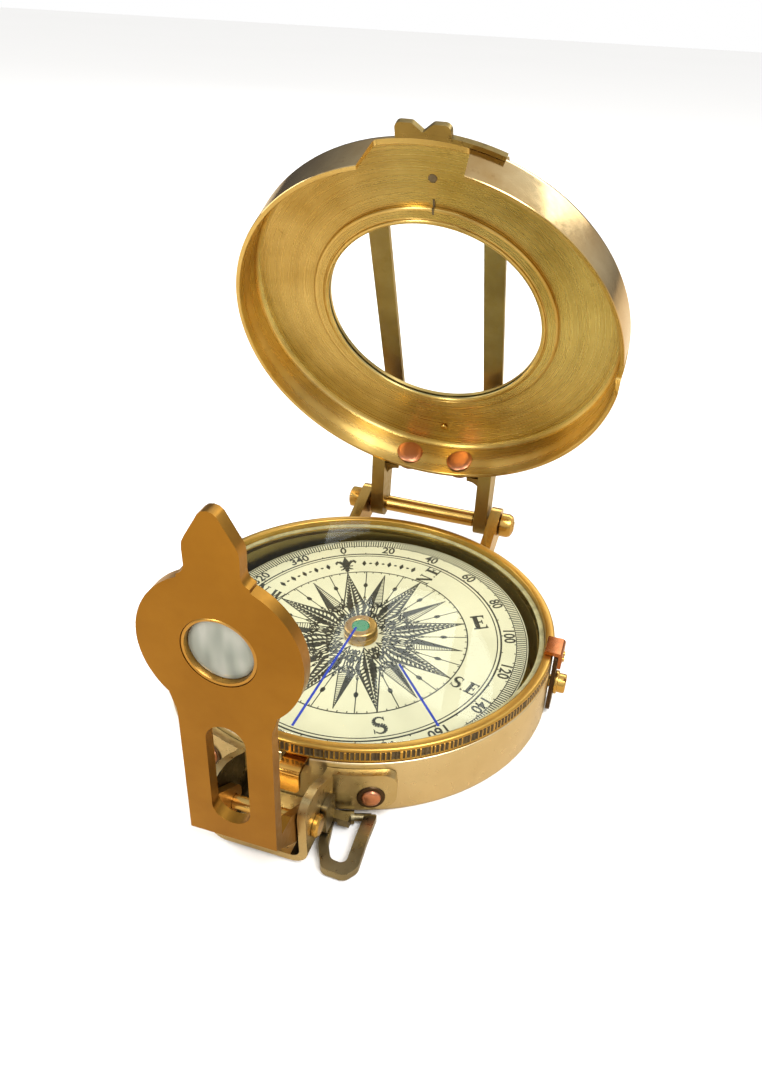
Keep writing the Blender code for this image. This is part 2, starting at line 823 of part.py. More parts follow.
def build_hinge():
    axis = (HINGE_Y, HINGE_Z)
    band = wall_band(
        "hinge_bracket", BAND_INNER_RADIUS, BAND_OUTER_RADIUS, LUG_OUTER_X, BAND_BOTTOM_Z, BAND_TOP_Z, False
    )
    foot = [(33.0, BAND_BOTTOM_Z), (33.0, BAND_TOP_Z - 0.5)]
    outline = hull(circle(axis, LUG_EYE_RADIUS, 24) + foot)
    bore = circle(axis, HINGE_PIN_RADIUS + FIT_GAP)
    for side in (-1, 1):
        span = sorted((side * LUG_INNER_X, side * LUG_OUTER_X))
        lug = prism("lug", outline, *span, ALONG_X)
        cut(lug, prism("wall", circle((0, 0), BAND_INNER_RADIUS, SEGMENTS), -5, CASE_HEIGHT))
        cut(lug, prism("bore", bore, span[0] - 1, span[1] + 1, ALONG_X))
        join(band, lug)
    for name, side in (("hinge_rivet_left", -1), ("hinge_rivet_right", 1)):
        place = radial_place(side * HINGE_RIVET_X, HINGE_RIVET_Z, CASE_RADIUS, False)
        cut(band, rivet_hole(place, 0, 3))
        rivet(name, place, -1.4, BAND_OUTER_RADIUS - CASE_RADIUS + FIT_GAP, False, BRASS)
    prism("hinge_pin", circle(axis, HINGE_PIN_RADIUS), -HINGE_END_X, HINGE_END_X, ALONG_X, BRASS)
    nut_start = LUG_OUTER_X + FIT_GAP
    for name, side in (("hinge_nut_left", -1), ("hinge_nut_right", 1)):
        nut = turned(
            name,
            [
                (HINGE_PIN_RADIUS + FIT_GAP, nut_start),
                (NUT_RADIUS, nut_start),
                (NUT_RADIUS, HINGE_END_X - 1.2),
                (NUT_RADIUS - 0.5, HINGE_END_X - 0.3),
                (HINGE_PIN_RADIUS + FIT_GAP, HINGE_END_X - 0.1),
            ],
            segments=PIN_SEGMENTS,
        )
        turn_out = Matrix.Rotation(side * math.pi / 2, 4, "Y")
        nut.data.transform(Matrix.Translation((0, HINGE_Y, HINGE_Z)) @ turn_out)


def build_lid():
    inner = LID_RADIUS - LID_SHEET
    inner_top = LID_TOP_Z - LID_SHEET
    outside = arc((LID_RADIUS - LID_SHOULDER, LID_TOP_Z - LID_SHOULDER), LID_SHOULDER, 0, 90, 4)
    inside_radius = LID_SHOULDER - LID_SHEET
    inside = arc((inner - inside_radius, inner_top - inside_radius), inside_radius, 90, 0, 3)
    shell = turned(
        "lid_shell",
        [
            (LID_RADIUS, LID_RIM_Z),
            *outside,
            (WINDOW_RADIUS, LID_TOP_Z),
            (WINDOW_RADIUS, inner_top),
            *inside,
            (inner, LID_RIM_Z),
        ],
        BRASS,
    )
    slant = 0.9
    notch = [
        (-NOTCH_HALF_WIDTH - slant, LID_RIM_Z - 1),
        (NOTCH_HALF_WIDTH + slant, LID_RIM_Z - 1),
        (NOTCH_HALF_WIDTH, NOTCH_TOP_Z),
        (-NOTCH_HALF_WIDTH, NOTCH_TOP_Z),
    ]
    cut(shell, prism("notch", notch, 30, 45, ALONG_MINUS_Y))
    cut(shell, box("side_slot", (35, 45), SIDE_SLOT_Y, (LID_RIM_Z - 1, SIDE_SLOT_TOP_Z)))

    glass_top = inner_top - 0.05
    glass_bottom = glass_top - WINDOW_GLASS_THICKNESS
    glass = turned(
        "window_glass",
        [
            (0, glass_bottom),
            (WINDOW_GLASS_RADIUS, glass_bottom),
            (WINDOW_GLASS_RADIUS, glass_top),
            (0, glass_top),
        ],
        GLASS,
        0.0,
    )
    ring_bottom = glass_bottom - FIT_GAP - WINDOW_RING_THICKNESS
    ring = turned(
        "window_ring",
        [
            (WINDOW_RADIUS, ring_bottom),
            (WINDOW_RING_RADIUS - 0.5, ring_bottom),
            (WINDOW_RING_RADIUS, ring_bottom + 0.5),
            (WINDOW_RING_RADIUS, glass_top),
            (WINDOW_GLASS_RADIUS + FIT_GAP, glass_top),
            (WINDOW_GLASS_RADIUS + FIT_GAP, glass_bottom - FIT_GAP),
            (WINDOW_RADIUS, glass_bottom - FIT_GAP),
        ],
        BRASS,
    )
    frame = build_sight_frame()
    sight = build_front_sight()
    rivets = []
    for name, side in (("lid_rivet_left", -1), ("lid_rivet_right", 1)):
        place = radial_place(side * LID_RIVET_X, LID_RIVET_Z, LID_RADIUS, False)
        for plate in (shell, frame):
            cut(plate, rivet_hole(place, -3, 3))
        reach = FRAME_GAP + FRAME_SHEET + FIT_GAP
        rivets.append(rivet(name, place, -LID_SHEET - 0.2, reach, True, COPPER))
    opening = Matrix.Rotation(-LID_OPENING, 4, "X").to_quaternion()
    hang([shell, glass, ring, frame, sight, *rivets], (0, HINGE_Y, HINGE_Z), opening)


def build_sight_frame():
    """Flange round the lid's back wall, an arm to each end of the hinge, and two straps over the window."""
    inner = LID_RADIUS + FRAME_GAP
    outer = inner + FRAME_SHEET
    frame = wall_band("sight_frame", inner, outer, ARM_OUTER_X, FRAME_BOTTOM_Z, FRAME_TOP_Z, False)
    axis = (HINGE_Y, HINGE_Z)
    root = [(37.6, FRAME_BOTTOM_Z), (37.6, FRAME_TOP_Z), (41.0, FRAME_TOP_Z)]
    outline = hull(circle(axis, ARM_EYE_RADIUS, 24) + root)
    for side in (-1, 1):
        span = sorted((side * ARM_INNER_X, side * ARM_OUTER_X))
        arm = prism("arm", outline, *span, ALONG_X)
        cut(arm, prism("wall", circle((0, 0), inner, SEGMENTS), 0, 30))
        bore = circle(axis, HINGE_PIN_RADIUS + RUNNING_GAP)
        cut(arm, prism("bore", bore, span[0] - 1, span[1] + 1, ALONG_X))
        join(frame, arm)
        inner_x = STRAP_X - STRAP_WIDTH / 2
        wall_y = math.sqrt(inner * inner - inner_x * inner_x) + 0.05
        foot_z = LID_TOP_Z + 0.15
        sheet = 1.2
        path = [
            (wall_y, FRAME_TOP_Z - 4),
            (wall_y + sheet, FRAME_TOP_Z - 4),
            (wall_y + sheet, STRAP_TOP_Z - 0.8),
            (wall_y + sheet - 0.8, STRAP_TOP_Z),
            (STRAP_FRONT_Y + 0.8, STRAP_TOP_Z),
            (STRAP_FRONT_Y, STRAP_TOP_Z - 0.8),
            (STRAP_FRONT_Y, foot_z),
            (STRAP_FRONT_Y + 5, foot_z),
            (STRAP_FRONT_Y + 5, foot_z + sheet),
            (STRAP_FRONT_Y + sheet, foot_z + sheet),
            (STRAP_FRONT_Y + sheet, STRAP_TOP_Z - sheet),
            (wall_y, STRAP_TOP_Z - sheet),
        ]
        low, high = sorted((side * inner_x, side * (inner_x + STRAP_WIDTH)))
        join(frame, prism("strap", path, low, high, ALONG_X))
    return frame


def build_front_sight():
    inner = LID_RADIUS + FRAME_GAP
    sight = wall_band("front_sight", inner, inner + 0.8, SIGHT_BAND_X, *SIGHT_BAND_Z, True)
    middle = (SIGHT_LEFT_X + SIGHT_RIGHT_X) / 2
    tab = prism(
        "tab",
        [
            (SIGHT_LEFT_X, -inner - 0.1),
            (SIGHT_LEFT_X, SIGHT_FRONT_Y),
            (middle - 1.9, SIGHT_FRONT_Y),
            (middle, SIGHT_NOTCH_Y),
            (middle + 1.9, SIGHT_FRONT_Y),
            (SIGHT_RIGHT_X, SIGHT_FRONT_Y),
            (SIGHT_RIGHT_X, -inner - 0.1),
        ],
        SIGHT_TAB_Z,
        SIGHT_BAND_Z[1] - 0.05,
    )
    join(sight, tab)
    left_half = box("left_half", (-SIGHT_BAND_X - 1, SIGHT_LEFT_X), (-45, -30), (18, 21))
    return cut(sight, left_half)


def build_bracket():
    sheet = BRACKET_SHEET
    half = CHEEK_OUTER_X
    floor = BRACKET_FLOOR_Z
    corner = arc((half - BRACKET_CORNER, floor + BRACKET_CORNER), BRACKET_CORNER, 0, -90, 4)
    inner_corner = arc(
        (half - BRACKET_CORNER, floor + BRACKET_CORNER), BRACKET_CORNER - sheet, -90, 0, 4
    )
    right = [(half, CHEEK_TOP_Z), *corner]
    inner_right = [*inner_corner, (half - sheet, CHEEK_TOP_Z)]
    section = right + [(-x, z) for x, z in reversed(right)]
    section += [(-x, z) for x, z in reversed(inner_right)] + inner_right
    bracket = prism("front_bracket", section, 30, -BRACKET_FRONT_Y, ALONG_MINUS_Y, PALE_BRASS)
    side_view = [
        (-30, -1),
        (-30, WING_HIGH_Z),
        (-39.0, WING_HIGH_Z),
        (-42.3, CHEEK_TOP_Z - 1.8),
        (-45.3, CHEEK_TOP_Z - 0.4),
        *arc((BRACKET_FRONT_Y + CHEEK_NOSE, CHEEK_TOP_Z - CHEEK_NOSE), CHEEK_NOSE, 90, 180, 4),
        (BRACKET_FRONT_Y + 1.2, -1),
    ]
    combine(bracket, prism("side", side_view, -half - 1, half + 1, ALONG_X), "INTERSECT")
    cut(bracket, prism("wall", circle((0, 0), WING_INNER_RADIUS, SEGMENTS), -1, CASE_HEIGHT))
    wings = wall_band(
        "wings", WING_INNER_RADIUS, WING_OUTER_RADIUS, WING_END_X, WING_LOW_Z, WING_HIGH_Z, True
    )
    face = rounded(
        [
            (-WING_END_X + 0.05, WING_LOW_Z + 0.01),
            (WING_END_X - 0.05, WING_LOW_Z + 0.01),
            (WING_END_X - 0.05, WING_HIGH_Z - 0.01),
            (-WING_END_X + 0.05, WING_HIGH_Z - 0.01),
        ],
        2.6,
    )
    combine(wings, prism("face", face, 20, 45, ALONG_MINUS_Y), "INTERSECT")
    middle = half - sheet
    cut(wings, box("middle", (-middle, middle), (-45, -30), (-1, CASE_HEIGHT)))
    join(bracket, wings)
    bore = circle((EYE_PIN_Y, EYE_PIN_Z), EYE_PIN_RADIUS + FIT_GAP)
    cut(bracket, prism("bore", bore, -half - 2, half + 2, ALONG_X))
    for name, side in (("bracket_rivet_left", -1), ("bracket_rivet_right", 1)):
        place = radial_place(side * WING_RIVET_X, WING_RIVET_Z, CASE_RADIUS, True)
        cut(bracket, rivet_hole(place, -1, 3))
        rivet(name, place, -1.4, WING_OUTER_RADIUS - CASE_RADIUS + FIT_GAP, False, COPPER)
    head = half + FIT_GAP
    reach = head + 1
    pin = rod(
        "eyepiece_pin", EYE_PIN_RADIUS, (-reach, EYE_PIN_Y, EYE_PIN_Z), (reach, EYE_PIN_Y, EYE_PIN_Z)
    )
    for side in (-1, 1):
        start = (side * head, EYE_PIN_Y, EYE_PIN_Z)
        end = (side * (head + 0.9), EYE_PIN_Y, EYE_PIN_Z)
        join(pin, rod("head", EYE_PIN_RADIUS + 0.7, start, end))


def build_eyepiece():
    disc = (0.0, DISC_Z)
    stem_angle = math.degrees(math.acos(STEM_HALF_WIDTH / DISC_RADIUS))
    tab_angle = math.degrees(math.acos(TAB_HALF_WIDTH / DISC_RADIUS))
    right = [
        (STEM_HALF_WIDTH, EYE_PLATE_BOTTOM_Z),
        (STEM_HALF_WIDTH, DISC_Z - 12.2),
        (STEM_HALF_WIDTH + 0.4, DISC_Z - 10.4),
        *arc(disc, DISC_RADIUS, -stem_angle + 6, tab_angle, 14),
        (TAB_HALF_WIDTH, TAB_SHOULDER_Z),
    ]
    tip = [(TAB_TIP_HALF_WIDTH, TAB_TIP_Z), (-TAB_TIP_HALF_WIDTH, TAB_TIP_Z)]
    outline = right + tip + [(-x, z) for x, z in reversed(right)]
    back = -EYE_PLATE_Y - EYE_PLATE_THICKNESS
    front = -EYE_PLATE_Y
    plate = prism("eyepiece_plate", outline, back, front, ALONG_MINUS_Y, BRASS)
    slot = arc((0, SLOT_HIGH_Z - SLOT_HALF_WIDTH), SLOT_HALF_WIDTH, 0, 180, 8)
    slot += arc((0, SLOT_LOW_Z + SLOT_HALF_WIDTH), SLOT_HALF_WIDTH, 180, 360, 8)
    cut(plate, prism("slot", slot, back - 1, front + 1, ALONG_MINUS_Y))
    cut(plate, prism("hole", circle(disc, LENS_HOLE_RADIUS, 32), back - 1, front + 1, ALONG_MINUS_Y))

    ring = turned(
        "lens_ring",
        [
            (LENS_RING_INNER, back),
            (LENS_HOLE_RADIUS - FIT_GAP, back),
            (LENS_HOLE_RADIUS - FIT_GAP, front),
            (LENS_RADIUS + 0.1, front),
            (LENS_RADIUS + 0.06, back + 0.5),
            (LENS_RING_INNER, back + 0.5),
        ],
        BRASS,
        segments=32,
    )
    lens = turned(
        "eyepiece_lens",
        [
            (0, back + 0.56),
            (LENS_RADIUS, back + 0.56),
            (LENS_RADIUS, back + 1.1),
            (LENS_RADIUS * 0.6, back + 1.35),
            (0, back + 1.5),
        ],
        GLASS,
        0.0,
        segments=32,
    )
    facing = Matrix.Translation((0, 0, DISC_Z)) @ Matrix.Rotation(math.pi / 2, 4, "X")
    pieces = [ring, lens]
    for obj in pieces:
        obj.data.transform(facing)
    pieces.append(plate)
    foot = Matrix.Translation((0, EYE_PLATE_Y, EYE_PLATE_BOTTOM_Z))
    lean = foot @ Matrix.Rotation(EYE_LEAN, 4, "X") @ foot.inverted()
    for obj in pieces:
        obj.data.transform(lean)

    eye = circle((EYE_PIN_Y, EYE_PIN_Z), EAR_EYE_RADIUS, 24)
    ear_view = hull(
        eye
        + [
            (EYE_PLATE_Y + 0.1, EYE_PLATE_BOTTOM_Z - 0.15),
            (EYE_PLATE_Y + 0.1, EYE_PLATE_BOTTOM_Z + 1.4),
            (-52.1, EYE_PLATE_BOTTOM_Z + 1.4),
        ]
    )
    bore = circle((EYE_PIN_Y, EYE_PIN_Z), EYE_PIN_RADIUS + RUNNING_GAP)
    for side in (-1, 1):
        span = sorted((side * (STEM_HALF_WIDTH - EAR_THICKNESS), side * (STEM_HALF_WIDTH - 0.02)))
        ear = prism("ear", ear_view, *span, ALONG_X)
        cut(ear, prism("bore", bore, span[0] - 1, span[1] + 1, ALONG_X))
        join(plate, ear)
    hang(pieces, (0, EYE_PIN_Y, EYE_PIN_Z))


def build_thumb_loop():
    low, high = LOOP_Z - LOOP_THICKNESS / 2, LOOP_Z + LOOP_THICKNESS / 2
    loop = prism("thumb_loop", LOOP_OUTER + LOOP_INNER, low, high, colour=BRONZE)
    join(loop, rod("bar", LOOP_BAR_RADIUS, LOOP_BAR_LEFT, LOOP_BAR_RIGHT, segments=12))
    hang([loop], (LOOP_BAR_LEFT + LOOP_BAR_RIGHT) / 2)

    along = (LOOP_BAR_RIGHT - LOOP_BAR_LEFT).normalized()
    start, end = LOOP_BAR_LEFT + along * 1.1, LOOP_BAR_LEFT + along * 3.6
    left = CHEEK_OUTER_X + FIT_GAP
    bottom = LOOP_Z + 1.1
    front, rear = HANGER_Y
    hanger = prism(
        "loop_hanger",
        rounded([(front, bottom), (rear, bottom), (rear, HANGER_TOP_Z), (front, HANGER_TOP_Z)], 0.8, 2),
        left,
        left + HANGER_THICKNESS,
        ALONG_X,
        DARK,
    )
    shelf = box("shelf", (left + 0.2, end.x - 0.2), (-41.2, -39.4), (LOOP_Z + 1.11, LOOP_Z + 2.0))
    web = box("web", (start.x + 0.15, end.x - 0.15), (-40.6, -39.4), (LOOP_Z - 0.2, LOOP_Z + 1.6))
    barrel = rod("barrel", LOOP_EYE_RADIUS, start, end, segments=12)
    join(hanger, shelf, web, barrel)
    bore = rod("bore", LOOP_BAR_RADIUS + RUNNING_GAP, start - along * 3, end + along * 3, segments=12)
    cut(hanger, bore)


clear_scene()
build_case()
build_bezel()
build_card()
build_pivot_and_lifter()
build_clamp()
build_hinge()
build_lid()
build_bracket()
build_eyepiece()
build_thumb_loop()
scale_to_metres()
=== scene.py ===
"""Looks of the sighting compass: finely turned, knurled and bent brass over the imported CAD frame.

Shapes are drawn in millimetres in the frame's own axes: z up from the case's underside, +Y towards the lid
hinge. Lid pieces are drawn with the lid closed and card pieces flat, and both are then turned to rest."""

import json
import math
import random

import bmesh
import bpy
from mathutils import Matrix, Vector

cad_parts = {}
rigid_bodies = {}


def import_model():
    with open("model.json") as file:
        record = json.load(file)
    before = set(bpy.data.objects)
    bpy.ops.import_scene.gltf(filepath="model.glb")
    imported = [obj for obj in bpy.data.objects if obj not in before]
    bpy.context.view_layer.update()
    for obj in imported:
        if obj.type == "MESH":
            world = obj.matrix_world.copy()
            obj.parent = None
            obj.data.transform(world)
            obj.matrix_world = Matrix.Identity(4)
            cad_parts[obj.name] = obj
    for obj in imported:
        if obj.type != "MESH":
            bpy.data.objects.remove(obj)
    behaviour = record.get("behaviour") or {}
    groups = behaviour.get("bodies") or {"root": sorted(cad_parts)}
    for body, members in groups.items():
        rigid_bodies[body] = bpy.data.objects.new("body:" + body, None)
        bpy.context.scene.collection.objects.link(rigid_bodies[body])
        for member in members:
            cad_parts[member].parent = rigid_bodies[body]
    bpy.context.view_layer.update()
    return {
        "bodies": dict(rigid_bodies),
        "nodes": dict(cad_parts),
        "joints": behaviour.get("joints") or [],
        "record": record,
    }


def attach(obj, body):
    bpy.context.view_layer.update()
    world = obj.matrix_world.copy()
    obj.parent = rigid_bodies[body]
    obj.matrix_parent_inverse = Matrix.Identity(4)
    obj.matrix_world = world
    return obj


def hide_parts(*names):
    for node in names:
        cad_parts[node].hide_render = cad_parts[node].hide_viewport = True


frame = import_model()

MM = 0.001
FINE = 192

# Case, bezel and card
CASE_RADIUS = 38.0
BEZEL_BOTTOM = 11.6
BEZEL_LIP_RADIUS = 36.1
BEZEL_GLASS_RADIUS = 36.04
CHAMBER_RADIUS = 35.9
KNURL_TEETH = 282
CARD_RADIUS = 33.4
CARD_TOP = -0.3
CARD_NORMAL = Vector((-0.035, -0.075, 0.9966)).normalized()
CARD_HEADING = math.radians(27.0)
PIVOT_TIP_Z = 8.57
INK_HEIGHT = 0.02
FIGURE_HEIGHT = 3.4
LETTER_HEIGHT = 4.1
SMALL_LETTER_HEIGHT = 3.0

# Lid, hinge and sights
HINGE = Vector((0.0, 52.4, 9.5))
LID_OPENING = math.radians(66.1)
LID_RADIUS = 40.15
LID_SHEET = 1.0
LID_RIM_Z = 11.4
LID_TOP_Z = 21.6
WINDOW_RADIUS = 22.7
WALL_GAP = 0.1

# Bracket and eyepiece
EYE_PIN = Vector((0.0, -46.5, 6.8))
EYE_PLATE_Y = -57.5
EYE_PLATE_BOTTOM_Z = 12.5
EYE_LEAN = math.radians(1.2)
DISC_Z = 47.6
DISC_RADIUS = 11.7

# Bands round the wall, their rivets and the clamp
BAND_RADIUS = 38.1
RIVET_SHANK = 1.1
RIVET_HOLE = 1.16
LID_RIVET = (6.3, 15.4)
HINGE_RIVET = (8.5, 4.1)
BRACKET_RIVET = (14.0, 5.3)
CLAMP_Y = 2.0
CLAMP_SCREW_Z = 6.6
HOOK_RIVETS_Z = (12.3, 13.6)
SIDES = ((-1, "left"), (1, "right"))

# Turns an outline drawn in YZ along X, and one drawn in XZ along -Y
ALONG_X = Matrix(((0, 0, 1, 0), (1, 0, 0, 0), (0, 1, 0, 0), (0, 0, 0, 1)))
ALONG_MINUS_Y = Matrix(((1, 0, 0, 0), (0, 0, -1, 0), (0, 1, 0, 0), (0, 0, 0, 1)))

LID_REST = Matrix.Translation(HINGE) @ Matrix.Rotation(-LID_OPENING, 4, "X") @ Matrix.Translation(-HINGE)
CARD_TILT = Vector((0, 0, 1)).rotation_difference(CARD_NORMAL).to_matrix().to_4x4()
CARD_REST = Matrix.Translation((0, 0, PIVOT_TIP_Z)) @ CARD_TILT @ Matrix.Rotation(CARD_HEADING, 4, "Z")
EYE_FOOT = Matrix.Translation((0, EYE_PLATE_Y, EYE_PLATE_BOTTOM_Z))
QUARTER_TURN = Matrix.Rotation(math.pi / 2, 4, "Y")
EYE_REST = EYE_FOOT @ Matrix.Rotation(EYE_LEAN, 4, "X") @ EYE_FOOT.inverted()


# Outlines


def arc(centre, radius, start, end, steps=8):
    """Points along an arc, angles in degrees."""
    angles = [math.radians(start + (end - start) * i / steps) for i in range(steps + 1)]
    return [(centre[0] + radius * math.cos(a), centre[1] + radius * math.sin(a)) for a in angles]


def circle(centre, radius, count=48):
    return arc(centre, radius, 0, 360 * (count - 1) / count, count - 1)


def filleted(points, radius, steps=3):
    """The closed outline with its corners rounded. radius is one number, or one for each corner."""
    radii = [radius] * len(points) if isinstance(radius, (int, float)) else radius
    result = []
    for i, corner in enumerate(points):
        here = Vector(corner)
        before = Vector(points[i - 1]) - here
        after = Vector(points[(i + 1) % len(points)]) - here
        half = before.angle(after) / 2
        if radii[i] == 0 or half < 0.05 or half > 1.52:
            result.append(tuple(corner))
            continue
        reach = min(radii[i] / math.tan(half), 0.48 * before.length, 0.48 * after.length)
        size = reach * math.tan(half)
        before.normalize()
        after.normalize()
        centre = here + (before + after).normalized() * size / math.sin(half)
        first, last = here + before * reach - centre, here + after * reach - centre
        for step in range(steps + 1):
            blend = first.lerp(last, step / steps)
            result.append(tuple(centre + blend.normalized() * size))
    return result


def hull(points):
    """Convex outline round the points, counterclockwise."""
    ordered = sorted(set(points))
    halves = []
    for run in (ordered, ordered[::-1]):
        chain = []
        for p in run:
            while len(chain) > 1 and turn(chain[-2], chain[-1], p) <= 0:
                chain.pop()
            chain.append(p)
        halves.append(chain[:-1])
    return halves[0] + halves[1]


def turn(a, b, c):
    return (b[0] - a[0]) * (c[1] - a[1]) - (b[1] - a[1]) * (c[0] - a[0])


# Meshes


def lathe(profile, segments=FINE, ripple=None):
    """Turned about Z from (radius, z) points. ripple(angle, radius, z) may change a point's radius."""
    bm = bmesh.new()
    rings = []
    for radius, z in profile:
        if radius == 0:
            rings.append([bm.verts.new((0, 0, z))])
            continue
        ring = []
        for i in range(segments):
            angle = 2 * math.pi * i / segments
            r = ripple(angle, radius, z) if ripple else radius
            ring.append(bm.verts.new((r * math.cos(angle), r * math.sin(angle), z)))
        rings.append(ring)
    if all(len(ring) > 1 for ring in rings):
        rings.append(rings[0])
    for lower, upper in zip(rings, rings[1:]):
        for i in range(segments):
            j = (i + 1) % segments
            corners = (
                lower[i % len(lower)], lower[j % len(lower)], upper[j % len(upper)],
                upper[i % len(upper)],
            )
            bm.faces.new(list(dict.fromkeys(corners)))
    bmesh.ops.recalc_face_normals(bm, faces=bm.faces)
    return bm


def slab(outline, low, high, place=None, holes=()):
    """The outline, with holes cut through it, extruded from low to high."""
    bm = bmesh.new()
    edges = []
    for loop in (outline, *holes):
        verts = [bm.verts.new((u, v, low)) for u, v in loop]
        edges += [bm.edges.new((verts[i - 1], verts[i])) for i in range(len(verts))]
    bmesh.ops.triangle_fill(bm, use_beauty=True, use_dissolve=False, edges=edges)
    made = bmesh.ops.extrude_face_region(bm, geom=list(bm.faces))
    risen = [v for v in made["geom"] if isinstance(v, bmesh.types.BMVert)]
    bmesh.ops.translate(bm, verts=risen, vec=(0, 0, high - low))
    bmesh.ops.recalc_face_normals(bm, faces=bm.faces)
    if place is not None:
        bm.transform(place)
    return bm


def bar(radius, start, end, segments=32):
    start, end = Vector(start), Vector(end)
    place = Matrix.Translation(start) @ (end - start).to_track_quat("Z", "Y").to_matrix().to_4x4()
    return slab(circle((0, 0), radius, segments), 0, (end - start).length, place)


def block(x, y, z):
    return slab([(x[0], y[0]), (x[1], y[0]), (x[1], y[1]), (x[0], y[1])], *z)


def merged(*meshes):
    """Several meshes as one."""
    whole = bmesh.new()
    for bm in meshes:
        scratch = bpy.data.meshes.new("scratch")
        bm.to_mesh(scratch)
        bm.free()
        whole.from_mesh(scratch)
        bpy.data.meshes.remove(scratch)
    return whole


def boolean(bm, operation, *tools):
    """bm with each tool united, cut away or intersected."""
    target = loose_object("target", bm)
    for tool in tools:
        other = loose_object("tool", tool)
        modifier = target.modifiers.new(operation, "BOOLEAN")
        modifier.operation = operation
        modifier.solver = "EXACT"
        modifier.object = other
        bpy.context.view_layer.update()
        graph = bpy.context.evaluated_depsgraph_get()
        mesh = bpy.data.meshes.new_from_object(target.evaluated_get(graph))
        target.modifiers.clear()
        target.data = mesh
        bpy.data.objects.remove(other)
    result = bmesh.new()
    result.from_mesh(target.data)
    bpy.data.objects.remove(target)
    return result


def cut(bm, *tools):
    return boolean(bm, "DIFFERENCE", *tools)


def join(bm, *tools):
    return boolean(bm, "UNION", *tools)


def keep(bm, *tools):
    return boolean(bm, "INTERSECT", *tools)


def loose_object(name, bm):
    mesh = bpy.data.meshes.new(name)
    bm.to_mesh(mesh)
    bm.free()
    obj = bpy.data.objects.new(name, mesh)
    bpy.context.scene.collection.objects.link(obj)
    return obj


def piece(
    name, bm, material, body, *nodes, place=None, bevel=0.0, sharp=32, slot=None, segments=2,
    own_axis=False,
):
    """Finishes a mesh as one piece that rides on a body and stands for these CAD nodes."""
    if place is not None and not own_axis:
        bm.transform(place)
    bm.transform(Matrix.Scale(MM, 4))
    obj = loose_object(name, bm)
    if own_axis:
        obj.matrix_world = Matrix.Translation(place.translation * MM) @ place.to_3x3().to_4x4()
    obj.data.materials.append(material)
    obj.data.shade_smooth()
    obj.data.set_sharp_from_angle(angle=math.radians(sharp))
    if bevel:
        edge = obj.modifiers.new("edge", "BEVEL")
        edge.width = bevel * MM
        edge.segments = segments
        edge.limit_method = "ANGLE"
        edge.angle_limit = math.radians(35)
        edge.harden_normals = True
        edge.use_clamp_overlap = True
    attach(obj, body)
    if nodes:
        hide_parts(*nodes)
    return obj


# Materials


class Nodes:
    """Short hand for building the node tree of a material or a world."""

    def __init__(self, name, blocks=bpy.data.materials):
        self.material = blocks.new(name)
        self.material.use_nodes = True
        self.tree = self.material.node_tree
        self.shader = self.tree.nodes.get("Principled BSDF")

    def add(self, kind, **values):
        node = self.tree.nodes.new(kind)
        for key, value in values.items():
            if hasattr(node, key):
                setattr(node, key, value)
            else:
                node.inputs[key.replace("_", " ")].default_value = value
        return node

    def set(self, **values):
        """Settings that are the same all over the surface."""
        for key, value in values.items():
            self.shader.inputs[key.replace("_", " ")].default_value = value

    def link(self, source, target):
        self.tree.links.new(source, target)

    def noise(self, scale, detail=4.0, stretch=(1, 1, 1), roughness=0.55):
        place = self.add("ShaderNodeTexCoord")
        mapping = self.add("ShaderNodeMapping")
        mapping.inputs["Scale"].default_value = stretch
        self.link(place.outputs["Object"], mapping.inputs["Vector"])
        noise = self.add("ShaderNodeTexNoise", Scale=scale, Detail=detail, Roughness=roughness)
        self.link(mapping.outputs["Vector"], noise.inputs["Vector"])
        return noise.outputs["Fac"]

    def ramp(self, source, stops):
        ramp = self.add("ShaderNodeValToRGB")
        elements = ramp.color_ramp.elements
        while len(elements) < len(stops):
            elements.new(0.5)
        for element, (position, colour) in zip(elements, stops):
            element.position = position
            value = (colour,) * 3 if isinstance(colour, (int, float)) else colour
            element.color = (*value, 1.0)
        self.link(source, ramp.inputs["Fac"])
        return ramp.outputs["Color"]

    def mix(self, factor, first, second):
        """The first colour, and the second one where the factor is high."""
        mix = self.add("ShaderNodeMix", data_type="RGBA")
        self.link(factor, mix.inputs[0])
        self.link(first, mix.inputs[6])
        mix.inputs[7].default_value = (*second, 1.0)
        return mix.outputs[2]

    def mix_shader(self, factor, first, second):
        mix = self.add("ShaderNodeMixShader")
        for socket, source in zip(mix.inputs, (factor, first, second)):
            self.link(source, socket)
        return mix.outputs[0]

    def surface(self, source):
        self.link(source, self.tree.nodes["Material Output"].inputs["Surface"])

    def bump(self, height, strength, distance):
        bump = self.add("ShaderNodeBump", Strength=strength, Distance=distance)
        self.link(height, bump.inputs["Height"])
        self.link(bump.outputs["Normal"], self.shader.inputs["Normal"])

    def colour(self, source):
        self.link(source, self.shader.inputs["Base Color"])

    def roughness(self, source):
        self.link(source, self.shader.inputs["Roughness"])


def metal(name, bright, worn, grime, rough=(0.22, 0.32), grain=0.04, dirt=0.3):
    """Cast or sheet brass: patches of tarnish, specks of grime, and fine marks left by polishing."""
    n = Nodes(name)
    n.set(Metallic=1.0)
    patches = n.noise(60.0, 5.0)
    tone = n.ramp(patches, [(0.35, bright), (0.68, worn)])
    specks = n.ramp(n.noise(420.0, 6.0, roughness=0.7), [(0.60, 0.0), (0.72, dirt)])
    n.colour(n.mix(specks, tone, grime))
    marks = n.noise(900.0, 3.0)
    n.roughness(n.ramp(marks, [(0.3, rough[0]), (0.75, rough[1])]))
    n.bump(marks, grain, 0.0001)
    return n.material


